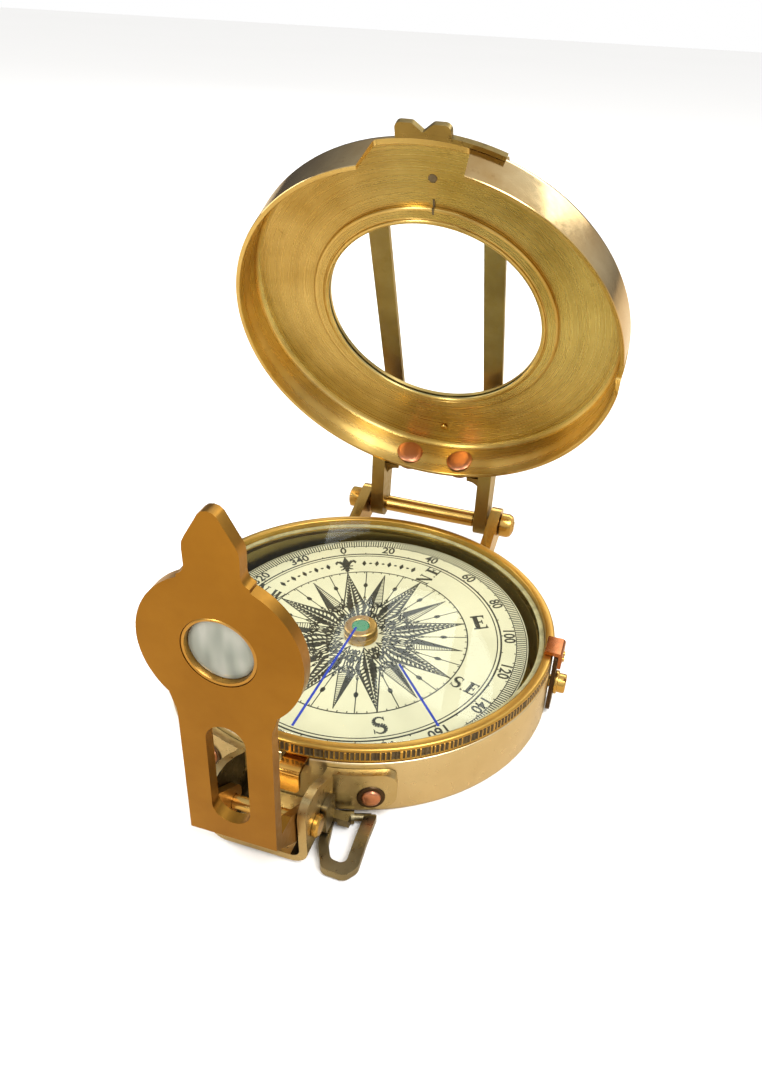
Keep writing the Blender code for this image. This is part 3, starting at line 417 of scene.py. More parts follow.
def ring_marks(name, bright, worn, grime, rough):
    """Lathe-turned brass: faint rings about the piece's own axis, with tarnish in soft patches."""
    n = Nodes(name)
    n.set(Metallic=1.0)
    patches = n.noise(38.0, 4.0)
    tone = n.ramp(patches, [(0.36, bright), (0.66, worn)])
    specks = n.ramp(n.noise(500.0, 6.0, roughness=0.7), [(0.64, 0.0), (0.74, 0.5)])
    radius = n.add("ShaderNodeAttribute", attribute_name="turned_radius")
    bands = n.add("ShaderNodeTexNoise", noise_dimensions="1D", Scale=420.0, Detail=3.0)
    n.link(radius.outputs["Fac"], bands.inputs["W"])
    streak = n.ramp(bands.outputs["Fac"], [(0.38, 0.0), (0.72, 0.14)])
    banded = n.mix(streak, tone, grime)
    n.colour(n.mix(specks, banded, grime))
    rings = n.add("ShaderNodeTexNoise", noise_dimensions="1D", Scale=2600.0, Detail=5.0)
    n.link(radius.outputs["Fac"], rings.inputs["W"])
    n.roughness(n.ramp(rings.outputs["Fac"], [(0.3, rough[0]), (0.7, rough[1])]))
    n.bump(rings.outputs["Fac"], 0.1, 0.00012)
    n.set(Anisotropic=0.75, Anisotropic_Rotation=0.25)
    tangent = n.add("ShaderNodeTangent", direction_type="RADIAL", axis="Z")
    n.link(tangent.outputs[0], n.shader.inputs["Tangent"])
    return n.material


def plain(name, colour, rough, metallic=0.0, scale=300.0, spread=0.25, grain=0.1):
    """Paint, rubber or stone with a little unevenness."""
    n = Nodes(name)
    n.set(Metallic=metallic)
    dark = tuple(c * (1 - spread) for c in colour)
    n.colour(n.ramp(n.noise(scale), [(0.35, colour), (0.7, dark)]))
    n.roughness(n.ramp(n.noise(scale * 2), [(0.3, rough * 0.8), (0.7, min(1.0, rough * 1.25))]))
    n.bump(n.noise(scale * 4), grain, 0.00005)
    return n.material


def pane(name, tint, shine=0.12, base=0.012):
    """Flat glass: clear straight through, with a mirror film that grows towards the edge of sight."""
    n = Nodes(name)
    n.set(Base_Color=(0.9, 0.95, 0.92, 1.0), Roughness=0.03, Metallic=1.0)
    clear = n.add("ShaderNodeBsdfTransparent")
    clear.inputs["Color"].default_value = (*tint, 1.0)
    weight = n.add("ShaderNodeLayerWeight", Blend=0.5)
    steep = n.add("ShaderNodeMath", operation="POWER")
    steep.inputs[1].default_value = 4.0
    n.link(weight.outputs["Facing"], steep.inputs[0])
    scaled = n.add("ShaderNodeMath", operation="MULTIPLY_ADD")
    scaled.inputs[1].default_value = shine
    scaled.inputs[2].default_value = base
    n.link(steep.outputs[0], scaled.inputs[0])
    n.surface(n.mix_shader(scaled.outputs[0], clear.outputs[0], n.shader.outputs[0]))
    return n.material


def clouded_lens():
    """Soft grey streaks painted into the lens: a painted, blurred view of what lies behind it."""
    n = Nodes("lens_painted_view")
    n.set(Roughness=0.12, Alpha=0.8)
    # painted view: the grey streaks stand for the blurred view through the lens
    streaks = n.noise(220.0, 2.0, (1.0, 1.0, 0.35))
    n.colour(
        n.ramp(
            streaks, [(0.38, (0.10, 0.12, 0.10)), (0.52, (0.24, 0.25, 0.21)), (0.64, (0.36, 0.36, 0.31))],
        )
    )
    return n.material


BRASS = metal(
    "brass_polished", (0.66, 0.43, 0.13), (0.50, 0.30, 0.07), (0.14, 0.08, 0.03), (0.2, 0.26), dirt=0.2,
    grain=0.01,
)
BEZEL = metal(
    "brass_bezel", (0.56, 0.34, 0.075), (0.42, 0.24, 0.05), (0.16, 0.09, 0.02), (0.29, 0.36), dirt=0.15,
    grain=0.015,
)
PALE = metal(
    "brass_pale", (0.68, 0.56, 0.33), (0.58, 0.46, 0.25), (0.24, 0.17, 0.08), (0.27, 0.31), dirt=0.1,
    grain=0.01,
)
LID_INSIDE = ring_marks(
    "brass_turned", (0.77, 0.58, 0.22), (0.50, 0.33, 0.085), (0.24, 0.14, 0.03), (0.24, 0.34),
)
EYE_BRASS = metal(
    "brass_lacquered", (0.36, 0.178, 0.026), (0.28, 0.132, 0.018), (0.17, 0.08, 0.012), (0.28, 0.4),
    dirt=0.1, grain=0.05,
)
STRAP = metal("brass_strap", (0.40, 0.29, 0.10), (0.22, 0.145, 0.04), (0.12, 0.09, 0.04), (0.3, 0.5))
DARK_BRASS = metal(
    "brass_blackened", (0.10, 0.06, 0.03), (0.05, 0.03, 0.015), (0.3, 0.22, 0.1), (0.3, 0.5),
)
COPPER = metal("copper_rivet", (0.60, 0.27, 0.15), (0.46, 0.18, 0.09), (0.16, 0.06, 0.03), (0.28, 0.4))
HOOK_COPPER = metal(
    "copper_hook", (0.46, 0.17, 0.06), (0.30, 0.10, 0.035), (0.12, 0.05, 0.02), (0.2, 0.3),
)
IVORY = plain("card_ivory", (0.60, 0.58, 0.40), 0.85, spread=0.10, scale=90.0, grain=0.02)
INK = plain("card_ink", (0.035, 0.037, 0.03), 0.6, scale=700.0, spread=0.4)
BLUE = plain("index_blue", (0.004, 0.03, 0.32), 0.4)
GREEN = plain("cap_green", (0.02, 0.21, 0.085), 0.6, spread=0.35)
LINER = metal(
    "liner_olive", (0.36, 0.28, 0.10), (0.24, 0.19, 0.07), (0.1, 0.08, 0.04), (0.3, 0.42), dirt=0.3,
    grain=0.02,
)
BEZEL_GLASS = pane("bezel_pane", (0.985, 0.99, 0.975), 0.16, 0.012)
WINDOW_GLASS = pane("window_pane", (0.98, 0.99, 0.98), 0.1, 0.01)
STEEL = plain("steel_grey", (0.42, 0.42, 0.43), 0.35, metallic=1.0)
SIGHT = metal(
    "brass_sight", (0.34, 0.24, 0.075), (0.18, 0.12, 0.03), (0.06, 0.04, 0.015), (0.25, 0.4), dirt=0.6,
)
PUTTY = plain("window_putty", (0.22, 0.27, 0.15), 0.7, scale=600.0, spread=0.5)
# Dark brown put into the knurl's grooves and the lid's pits.
GROOVE = plain("groove_dark_brown", (0.12, 0.075, 0.022), 0.6, spread=0.5)
CAP_BRASS = metal(
    "brass_cap", (0.56, 0.36, 0.12), (0.42, 0.26, 0.08), (0.15, 0.09, 0.04), (0.28, 0.4), grain=0.02,
)
LEVER_BRASS = metal(
    "brass_lever", (0.86, 0.50, 0.12), (0.70, 0.36, 0.07), (0.2, 0.12, 0.05), (0.16, 0.26), grain=0.02,
)
LENS_BRASS = metal("brass_lens", (0.56, 0.33, 0.08), (0.42, 0.22, 0.05), (0.2, 0.12, 0.05), (0.25, 0.4))
LID_OUTSIDE = metal(
    "brass_mirror", (0.72, 0.55, 0.28), (0.52, 0.32, 0.11), (0.3, 0.14, 0.03), (0.1, 0.2), dirt=0.3,
)
BRACKET = metal("brass_bracket", (0.60, 0.49, 0.26), (0.46, 0.34, 0.15), (0.16, 0.10, 0.04), (0.25, 0.42))
BRONZE = metal("bronze_dark", (0.30, 0.25, 0.14), (0.16, 0.13, 0.07), (0.5, 0.42, 0.25), (0.25, 0.45))
# Near-black brass: painted shade for the inside of the bracket channel.
PAINTED_SHADE_INSIDE = metal(
    "brass_black", (0.035, 0.027, 0.015), (0.02, 0.016, 0.01), (0.3, 0.22, 0.1), (0.25, 0.45),
)
CEMENT = plain("cement_green", (0.42, 0.38, 0.20), 0.5, scale=500.0, spread=0.4)
LENS_GLASS = clouded_lens()
RUBY = plain("jewel_ruby", (0.35, 0.02, 0.06), 0.15)


# Case and bezel


def wall_arc(inner, outer, half_width, low, high, front, steps=32):
    """A curved sheet against the round wall, at the front (-Y) or the back (+Y)."""
    middle = -90 if front else 90
    reach = math.degrees(math.asin(half_width / outer))
    outline = arc((0, 0), inner, middle - reach, middle + reach, steps)
    outline += arc((0, 0), outer, middle + reach, middle - reach, steps)
    return slab(outline, low, high)


def radial_place(side, spot, radius, front):
    """A place on the wall of this radius, at the spot's x and z, with local +Z pointing out of it."""
    x, z = side * spot[0], spot[1]
    y = math.sqrt(radius * radius - x * x) * (-1 if front else 1)
    outward = Vector((x, y, 0)).normalized()
    return Matrix.Translation((x, y, z)) @ outward.to_track_quat("Z", "Y").to_matrix().to_4x4()


def paint_faces(obj, material, chosen):
    """Gives a second material to the faces that chosen(centre in mm, normal) picks."""
    obj.data.materials.append(material)
    for face in obj.data.polygons:
        if chosen(face.center / MM, face.normal):
            face.material_index = 1


def rivet_hole(side, spot, radius, front, low=-1):
    return slab(circle((0, 0), RIVET_HOLE, 24), low, 3, radial_place(side, spot, radius, front))


def build_case():
    shell = lathe(
        filleted(
            [
                (0, 0), (CASE_RADIUS, 0), (CASE_RADIUS, 11.3), (36.9, 11.3), (36.9, 12.4),
                (CHAMBER_RADIUS, 12.4), (CHAMBER_RADIUS, 1.6), (0, 1.6),
            ],
            [0, 0.7, 0.35, 0.05, 0.1, 0.1, 0.4, 0],
        )
    )
    window = block((-0.9, 4.0), (-39, -34.9), (9.7, 11.4))
    case = piece("case_shell", cut(shell, window), PALE, "case", "case_body", slot="case_brass")
    paint_faces(case, LINER, lambda c, _: math.hypot(c.x, c.y) < CHAMBER_RADIUS + 0.3 and c.z > 0.5)

    liner = lathe([(34.9, 1.8), (35.7, 1.8), (35.7, 11.7), (35.4, 11.75), (34.9, 11.7)])
    gap = block((-0.9, 4.0), (-38, -33), (0, 14))
    piece("chamber_wall", cut(liner, gap), LINER, "case", "chamber_liner", slot="blackened")


def build_bezel():
    band_low, band_high, depth = 11.95, 13.55, 0.4

    def knurl(angle, radius, z):
        in_groove = (angle * KNURL_TEETH / (2 * math.pi)) % 1.0 >= 0.5
        return radius - depth if in_groove and band_low < z < band_high and radius > 37.5 else radius

    skirt, groove = 37.0, 37.8
    profile = [
        (skirt, BEZEL_BOTTOM), (37.75, BEZEL_BOTTOM), (37.95, 11.7), (37.95, 11.88), (37.8, 11.94),
        (37.97, 12.0), (37.97, 13.48), (37.8, 13.56), *arc((37.45, 13.8), 0.5, 0, 90, 6),
        *arc((36.45, 14.0), 0.3, 90, 180, 3), (BEZEL_LIP_RADIUS, 12.8), (35.2, 12.8), (35.2, 12.5),
        (skirt, 12.5),
    ]
    ring = piece(
        "bezel_knurled", lathe(profile, KNURL_TEETH * 4, knurl), BEZEL, "bezel", "bezel_ring",
        slot="brass", sharp=40,
    )
    # The knurl's grooves are coloured dark brown.
    paint_faces(
        ring, GROOVE, lambda c, _: band_low < c.z < band_high and skirt < math.hypot(c.x, c.y) < groove,
    )
    rim = BEZEL_GLASS_RADIUS
    cement = lathe([(35.1, 12.82), (rim, 12.82), (rim, 13.07), (35.1, 13.07)])
    piece("glass_cement", cement, CEMENT, "bezel", "glass_gasket", slot="gasket")
    glass = lathe([(0, 13.1), (rim, 13.1), (rim, 13.85), (rim - 0.15, 14.0), (0, 14.0)])
    piece("bezel_pane", glass, BEZEL_GLASS, "bezel", "bezel_glass", slot="clear_glass")
    lines = []
    for start, end in (((0.5, -4.8), (-0.5, -34.2)), ((11.6, -12.5), (22.6, -25.7))):
        lines.append(slab(bar_outline(start, end, 0.46), 14.01, 14.05))
    piece("index_lines", merged(*lines), BLUE, "bezel", slot="clear_glass")


# Card


def polar(radius, azimuth):
    """A point on the card, azimuth clockwise from north."""
    a = math.radians(azimuth)
    return radius * math.sin(a), radius * math.cos(a)


class Print:
    """Thin closed prisms of ink, gathered into one piece."""

    def __init__(self, low, high):
        self.low, self.high = low, high
        self.bm = bmesh.new()

    def shape(self, outline):
        top = [self.bm.verts.new((x, y, self.high)) for x, y in outline]
        bottom = [self.bm.verts.new((x, y, self.low)) for x, y in outline]
        self.bm.faces.new(top)
        self.bm.faces.new(bottom[::-1])
        for i in range(len(outline)):
            self.bm.faces.new((top[i - 1], bottom[i - 1], bottom[i], top[i]))

    def ring(self, radius, width):
        count = 180
        for i in range(count):
            a, b = 360 * i / count, 360 * (i + 1) / count
            inner, outer = radius - width / 2, radius + width / 2
            self.shape([polar(inner, a), polar(inner, b), polar(outer, b), polar(outer, a)])

    def line(self, a, b, width):
        self.shape(bar_outline(a, b, width))

    def local(self, azimuth, *outlines):
        """Outlines drawn with north up, turned to an azimuth."""
        turn_by = Matrix.Rotation(-math.radians(azimuth), 2)
        for outline in outlines:
            self.shape([tuple(turn_by @ Vector(p)) for p in outline])


def bar_outline(a, b, width, end_width=None):
    a, b = Vector(a), Vector(b)
    across = (b - a).orthogonal().normalized() / 2
    last = width if end_width is None else end_width
    return [
        tuple(a - across * width), tuple(b - across * last), tuple(b + across * last),
        tuple(a + across * width),
    ]


def ribbon(points, widths):
    """Bars along a path, each tapering to the next width."""
    return [
        bar_outline(points[i], points[i + 1], widths[i], widths[i + 1]) for i in range(len(points) - 1)
    ]


def rect(x0, y0, x1, y1):
    return [(x0, y0), (x1, y0), (x1, y1), (x0, y1)]


def letters():
    """Serif capitals one unit high: their strokes and widths."""
    curve = arc((0.36, 0.73), 0.24, 30, 270, 10) + arc((0.36, 0.26), 0.24, 80, -150, 10)
    count = len(curve)
    swell = [0.07 + 0.17 * math.sin(math.pi * i / (count - 1)) ** 2 for i in range(count)]
    s_strokes = ribbon(curve, swell)
    s_strokes += [[(0.56, 0.98), (0.60, 0.98), (0.60, 0.70), (0.54, 0.80)]]
    s_strokes += [[(0.10, 0.02), (0.06, 0.02), (0.06, 0.32), (0.13, 0.20)]]
    e_strokes = [
        rect(0.10, 0, 0.34, 1), rect(0, 0, 0.72, 0.10), rect(0, 0.90, 0.68, 1),
        rect(0.3, 0.46, 0.5, 0.56), [(0.66, 1), (0.56, 0.93), (0.66, 0.70)],
        [(0.70, 0), (0.70, 0.32), (0.59, 0.07)], rect(0.48, 0.36, 0.54, 0.65),
    ]
    n_strokes = [
        rect(0.10, 0, 0.20, 1), rect(0.73, 0, 0.83, 1), bar_outline((0.16, 1.0), (0.76, 0.0), 0.22),
        rect(0, 0, 0.31, 0.06), rect(0, 0.94, 0.24, 1), rect(0.63, 0.94, 0.93, 1),
    ]
    w_strokes = [
        bar_outline((0.12, 1), (0.34, 0), 0.21), bar_outline((0.36, 0), (0.56, 0.94), 0.09),
        bar_outline((0.50, 1), (0.74, 0), 0.21), bar_outline((0.76, 0), (0.98, 0.94), 0.09),
        rect(0, 0.94, 0.28, 1), rect(0.38, 0.94, 0.66, 1), rect(0.86, 0.94, 1.12, 1),
    ]
    return {
        "S": (s_strokes, 0.66), "E": (e_strokes, 0.72), "N": (n_strokes, 0.93), "W": (w_strokes, 1.12),
        ".": ([rect(0.05, 0, 0.17, 0.12)], 0.22),
    }


def word(printing, text, size, centre, angle):
    """A word centred on a point and turned counterclockwise by an angle in degrees."""
    glyphs = letters()
    gap = 0.08
    width = sum(glyphs[c][1] + gap for c in text) * size
    turn_by = Matrix.Rotation(math.radians(angle), 2)
    start = -width / 2
    for character in text:
        strokes, advance = glyphs[character]
        for outline in strokes:
            spots = [Vector((x * size + start, y * size - size / 2)) for x, y in outline]
            printing.shape([tuple(Vector(centre) + turn_by @ spot) for spot in spots])
        start += (advance + gap) * size


def numerals(low):
    """The degree figures every twenty degrees, tops outwards."""
    meshes = []
    for azimuth in range(0, 360, 20):
        curve = bpy.data.curves.new("figures", "FONT")
        curve.body = str(azimuth)
        curve.size = FIGURE_HEIGHT
        curve.align_x = curve.align_y = "CENTER"
        curve.offset = 0.075
        curve.extrude = INK_HEIGHT / 2
        curve.resolution_u = 3
        holder = bpy.data.objects.new("figures", curve)
        bpy.context.scene.collection.objects.link(holder)
        bpy.context.view_layer.update()
        graph = bpy.context.evaluated_depsgraph_get()
        mesh = bpy.data.meshes.new_from_object(holder.evaluated_get(graph))
        bpy.data.objects.remove(holder)
        bm = bmesh.new()
        bm.from_mesh(mesh)
        bmesh.ops.remove_doubles(bm, verts=bm.verts, dist=1e-5)
        bmesh.ops.recalc_face_normals(bm, faces=bm.faces)
        spot = polar(CARD_RADIUS * 0.8875, azimuth)
        turn_by = Matrix.Rotation(-math.radians(azimuth), 4, "Z") @ Matrix.Diagonal((0.86, 0.92, 1, 1))
        bm.transform(Matrix.Translation((*spot, low + INK_HEIGHT / 2)) @ turn_by)
        meshes.append(bm)
    return meshes


def leaf(x, y, length, width, angle):
    """A pointed leaf centred on a point."""
    along = Vector((math.cos(angle), math.sin(angle)))
    across = Vector((-along.y, along.x))
    spots = [(-0.5, 0), (-0.15, 0.5), (0.2, 0.42), (0.5, 0), (0.2, -0.42), (-0.15, -0.5)]
    return [tuple(Vector((x, y)) + along * u * length + across * v * width) for u, v in spots]


def rose(ink, light):
    """The wind rose: eight ornate points, eight hatched ones, and fine rays between them."""
    tip, waist, waist_half, root = 21.2, 9.0, 2.5, 3.6
    dice = random.Random(7)
    for azimuth in range(0, 360, 45):
        ink.local(azimuth, [(0, tip), (0, root), (waist_half, waist)])
        left = [(0, tip), (-waist_half, waist), (0, root)]
        ink.local(azimuth, bar_outline(left[0], left[1], 0.3), bar_outline(left[1], left[2], 0.3))
        for step in range(15):
            y = 5.4 + step * 0.98
            half = waist_half * min((tip - y) / (tip - waist), (y - root) / (waist - root))
            swing = dice.uniform(-0.3, 0.3)
            light.local(azimuth, leaf(half * 0.5, y, 0.42 * half + 0.3, 0.2 * half + 0.08, 0.9 + swing))
            ink.local(azimuth, leaf(-half * 0.5, y, 0.75 * half + 0.4, 0.34 * half + 0.14, 2.2 + swing))
            ink.local(
                azimuth, leaf(-half * 0.25, y + 0.5, 0.5 * half + 0.3, 0.3 * half + 0.1, 1.2 - swing),
            )
        for side in (-1, 1):
            for x, y, length, width, lean in (
                (3.0, 8.0, 2.6, 1.0, 0.5), (4.2, 9.0, 1.9, 0.7, 1.1), (2.0, 6.4, 2.2, 1.1, 0.2),
                (3.1, 6.0, 1.6, 0.8, 1.0), (1.3, 4.9, 1.8, 1.0, 0.4), (2.9, 10.3, 1.8, 0.7, 0.1),
                (2.4, 11.6, 1.2, 0.5, -0.3),
            ):
                swing = dice.uniform(-0.2, 0.2)
                angle = math.pi / 2 - side * (lean + swing)
                ink.local(azimuth, leaf(side * x, y, length, width, angle))
                light.local(azimuth, leaf(side * x, y, length * 0.42, width * 0.3, angle))
    for azimuth in [22.5 + 45 * i for i in range(8)]:
        reach, base, half = 20.6, 8.0, 1.75
        waist = base + 2.6
        ink.local(azimuth, [(0, reach), (-half, waist), (0, base)])
        ink.local(azimuth, bar_outline((0, reach), (half, waist), 0.2))
        ink.local(azimuth, bar_outline((half, waist), (0, base), 0.2))
        for step in range(19):
            y = waist + step * 0.5
            edge = half * (reach - y) / (reach - waist)
            ink.local(azimuth, bar_outline((0, y - 0.15), (edge, y + 0.15), 0.16))
        for x, y, length, width, angle in (
            (0, 7.0, 2.6, 1.3, 1.571), (1.2, 6.6, 1.8, 0.8, 1.0), (-1.2, 6.6, 1.8, 0.8, 2.14),
            (0, 5.0, 1.8, 1.1, 1.571),
        ):
            ink.local(azimuth, leaf(x, y, length, width, angle))
    for azimuth in [11.25 + 22.5 * i for i in range(16)]:
        ink.local(azimuth, bar_outline((0, 9.8), (0, 21.3), 0.2))
        ink.local(azimuth, leaf(0, 16.6, 1.8, 0.95, math.pi / 2))
        ink.local(azimuth, leaf(0, 12.3, 1.2, 0.6, math.pi / 2))
    for step in range(72):
        ink.local(step * 5 + 2.5, leaf(0, 10.3, 0.7, 0.35, 0.5))


def lily():
    """A fleur-de-lis, base at the origin and one unit tall."""
    middle = [(0, 0.16), (0.10, 0.42), (0.13, 0.62), (0.0, 1.0), (-0.13, 0.62), (-0.10, 0.42)]
    shapes = [middle, rect(-0.26, 0.30, 0.26, 0.37), leaf(0, 0.1, 0.34, 0.18, math.pi / 2)]
    for side in (-1, 1):
        path = [
            (side * x, y) for x, y in (
                (0.07, 0.34), (0.15, 0.55), (0.27, 0.68), (0.38, 0.62), (0.37, 0.5),
            )
        ]
        shapes += ribbon(path, [0.09, 0.13, 0.14, 0.11, 0.05])
        foot = [(side * x, y) for x, y in ((0.05, 0.30), (0.13, 0.16), (0.25, 0.12))]
        shapes += ribbon(foot, [0.08, 0.09, 0.04])
    return shapes


def build_card():
    radius = CARD_RADIUS
    top, bottom = CARD_TOP, CARD_TOP - 0.4
    disc = lathe(filleted([(2.4, bottom), (radius, bottom), (radius, top), (2.4, top)], [0, 0.1, 0.1, 0]))
    piece("card_disc", disc, IVORY, "card", "compass_card", place=CARD_REST, slot="card_ivory")

    ink = Print(top, top + INK_HEIGHT)
    light = Print(top + INK_HEIGHT, top + INK_HEIGHT * 1.8)
    rings = [
        (0.99, 0.2), (0.93, 0.18), (0.84, 0.36), (0.818, 0.22), (0.64, 0.26), (0.322, 0.22),
        (0.295, 0.34),
    ]
    for share, width in rings:
        ink.ring(radius * share, width)
    for degree in range(360):
        inner = 0.918 if degree % 5 == 0 else 0.93
        ink.line(polar(radius * inner, degree), polar(radius * 0.985, degree), 0.24)
        if degree % 10 == 0:
            ink.line(polar(radius * 0.845, degree), polar(radius * 0.853, degree), 0.24)
        if degree % 5 == 0:
            ink.line(polar(radius * 0.624, degree), polar(radius * 0.64, degree), 0.2)
    rose(ink, light)
    for text, azimuth in (("E", 90), ("S", 180), ("W", 270)):
        word(ink, text, LETTER_HEIGHT, polar(radius * 0.735, azimuth), 0)
    for text, azimuth, angle in (("S.E", 135, -45), ("S.W", 225, 45), ("N.E", 45, 45), ("N.W", 315, -45)):
        word(ink, text, SMALL_LETTER_HEIGHT, polar(radius * 0.735, azimuth), angle)
    ink.local(0, *([(x * 5.6, radius * 0.655 + y * 5.6) for x, y in s] for s in lily()))
    for side in (-1, 1):
        for step in range(9):
            azimuth = side * (9.5 + step * 3.3)
            x, y = 0.0, radius * 0.735
            if step % 2:
                ink.local(azimuth, leaf(x, y, 0.8, 0.55, 0))
            else:
                ink.local(azimuth, leaf(x, y, 2.0, 0.8, math.pi / 2), leaf(x, y, 1.1, 0.5, 0))
    figures = numerals(top)
    piece("card_print", merged(ink.bm, *figures), INK, "card", place=CARD_REST, slot="card_ivory")
    piece("card_print_reserve", light.bm, IVORY, "card", place=CARD_REST, slot="card_ivory")

    cap_profile = [
        (0, 2.15), (1.8, 2.15), (1.8, 2.5), (1.95, 2.6), (2.8, 2.6), *arc((2.9, 2.15), 0.42, 80, 0, 5),
        (3.32, 1.35), (3.15, 1.22), (3.15, 1.05), (3.38, 0.95), (3.38, -0.1), (3.2, -0.24), (2.25, -0.24),
        (2.25, -1.9), (1.6, -1.9), (1.6, 0.95), (0, 0.95),
    ]
    piece(
        "cap_drum", lathe(cap_profile, 96), CAP_BRASS, "card", "card_cap", place=CARD_REST, slot="brass",
    )
    dome = [(0, 2.2), (1.75, 2.2), (1.75, 2.42), (1.5, 2.52), (0.8, 2.57), (0, 2.58)]
    piece("cap_stone", lathe(dome, 64), GREEN, "card", "cap_jewel", place=CARD_REST, slot="green_jewel")


# Lever and clamp


def build_lever():
    half, low, high = 0.4, 3.2, 10.6
    outer_y, inner_y, tab_bottom = -41.2, -34.4, 6.3
    view = [
        (outer_y, tab_bottom), (outer_y + 0.8, tab_bottom), (outer_y + 0.8, high - half),
        (inner_y - 0.8, high - half), (inner_y - 0.8, low - half), (-2.7, low - half), (-2.7, low + half),
        (inner_y, low + half), (inner_y, high + half), (outer_y, high + half),
    ]
    radii = [0.15, 0.15, 0.3, 0.3, 0.8, 0.1, 0.1, 0.3, 0.8, 1.0]
    sheet = slab(filleted(view, radii, 4), -0.4, 3.5, ALONG_X)
    tab_face = filleted([(-0.42, 0), (3.52, 0), (3.52, 12), (-0.42, 12)], 0.05)
    corner = filleted([(-0.4, tab_bottom), (3.5, tab_bottom), (3.5, 12), (-0.4, 12)], [1.0, 1.0, 0, 0], 5)
    front = slab(corner, 39.6, 42, ALONG_MINUS_Y)
    rest = slab(tab_face, 0, 39.6, ALONG_MINUS_Y)
    sheet = keep(sheet, join(front, rest))
    eye = slab(circle((0, 0), 4.7), low - half, low + half)
    boss = bar(1.1, (-0.4, -29, low), (3.5, -29, low))
    lever = join(sheet, eye, boss)
    lever = cut(lever, slab(circle((0, 0), 2.7), 0, 8), bar(0.56, (-4, -29, low), (8, -29, low)))
    piece("lever_sheet", lever, LEVER_BRASS, "lever", "lifter_lever", slot="case_brass", bevel=0.12)


def clamp_holes(heights, radius):
    return [bar(radius, (37, CLAMP_Y, z), (41, CLAMP_Y, z)) for z in heights]


def clamp_place(z):
    """Local +Z pointing out of the case at the clamp."""
    return Matrix.Translation((0, CLAMP_Y, z)) @ QUARTER_TURN


def build_clamp():
    x, y = (38.2, 39.0), (-0.5, 4.5)
    outline = filleted([(y[0], 1.0), (y[1], 1.0), (y[1], 14.1), (y[0], 14.1)], 1.0)
    strip = slab(outline, *x, ALONG_X)
    tools = clamp_holes(HOOK_RIVETS_Z, 0.36) + clamp_holes([CLAMP_SCREW_Z], 1.26)
    piece(
        "clamp_strap", cut(strip, *tools), DARK_BRASS, "case", "clamp_strip", slot="blackened",
        bevel=0.12,
    )
    outer = 39.76
    hook = slab(
        filleted(
            [(36.3, 14.4), (39.06, 14.4), (39.06, 11.7), (outer, 11.7), (outer, 15.2), (36.3, 15.2)],
            [0.15, 0.05, 0.1, 0.25, 0.75, 0.3], 4,
        ),
        -y[1], -y[0], ALONG_MINUS_Y,
    )
    piece(
        "clamp_claw", cut(hook, *clamp_holes(HOOK_RIVETS_Z, 0.36)), HOOK_COPPER, "case", "clamp_hook",
        slot="copper", bevel=0.14,
    )
    for which, z in zip(("low", "high"), HOOK_RIVETS_Z):
        node = {"low": "hook_rivet_lower", "high": "hook_rivet_upper"}[which]
        profile = [
            (0, 38.2), (0.3, 38.2), (0.3, 39.8), (0.6, 39.8), (0.58, 39.93), (0.4, 40.05), (0, 40.11),
        ]
        piece(
            f"claw_rivet_{which}", lathe(profile, 24), BRASS, "case", node, place=clamp_place(z),
            slot="brass",
        )
    profile = filleted(
        [
            (0, 36.6), (1.2, 36.6), (1.2, 39.04), (2.3, 39.04), (2.3, 39.7), (1.9, 39.7), (1.9, 41.2),
            (0, 41.2),
        ],
        [0, 0, 0, 0.1, 0.2, 0.1, 0.4, 0],
    )
    screw = cut(lathe(profile, 48), block((-3, 3), (-0.3, 0.3), (40.7, 42)))
    place = clamp_place(CLAMP_SCREW_Z) @ Matrix.Rotation(0.5, 4, "Z")
    piece("clamp_bolt", screw, BRASS, "case", "clamp_screw", place=place, slot="brass")


# Hinge


def rivet(name, node, place, low, high, material, body, slot, back_head=False, radius=2.5, height=0.9):
    """A hammered rivet: a low dome, slightly dished and uneven round the edge."""

    def hammered(angle, r, _):
        return r * (1 + 0.012 * math.sin(3 * angle + 1.3) + 0.008 * math.sin(5 * angle)) if r > 1.5 else r

    edge = radius * 0.985
    dome = [(edge, 0.25), (radius * 0.9, 0.6), (radius * 0.7, 0.85), (radius * 0.35, 0.97)]
    head = [(RIVET_SHANK, high), (edge, high), *((r, high + rise * height) for r, rise in dome)]
    head.append((0, high + 0.99 * height))
    tail = [(0, low), (RIVET_SHANK, low)]
    if back_head:
        tail = [(0, low - 0.97 * height), *((r, low - rise * height) for r, rise in reversed(dome))]
        tail += [(edge, low), (RIVET_SHANK, low)]
    return piece(name, lathe(tail + head, 48, hammered), material, body, node, place=place, slot=slot)


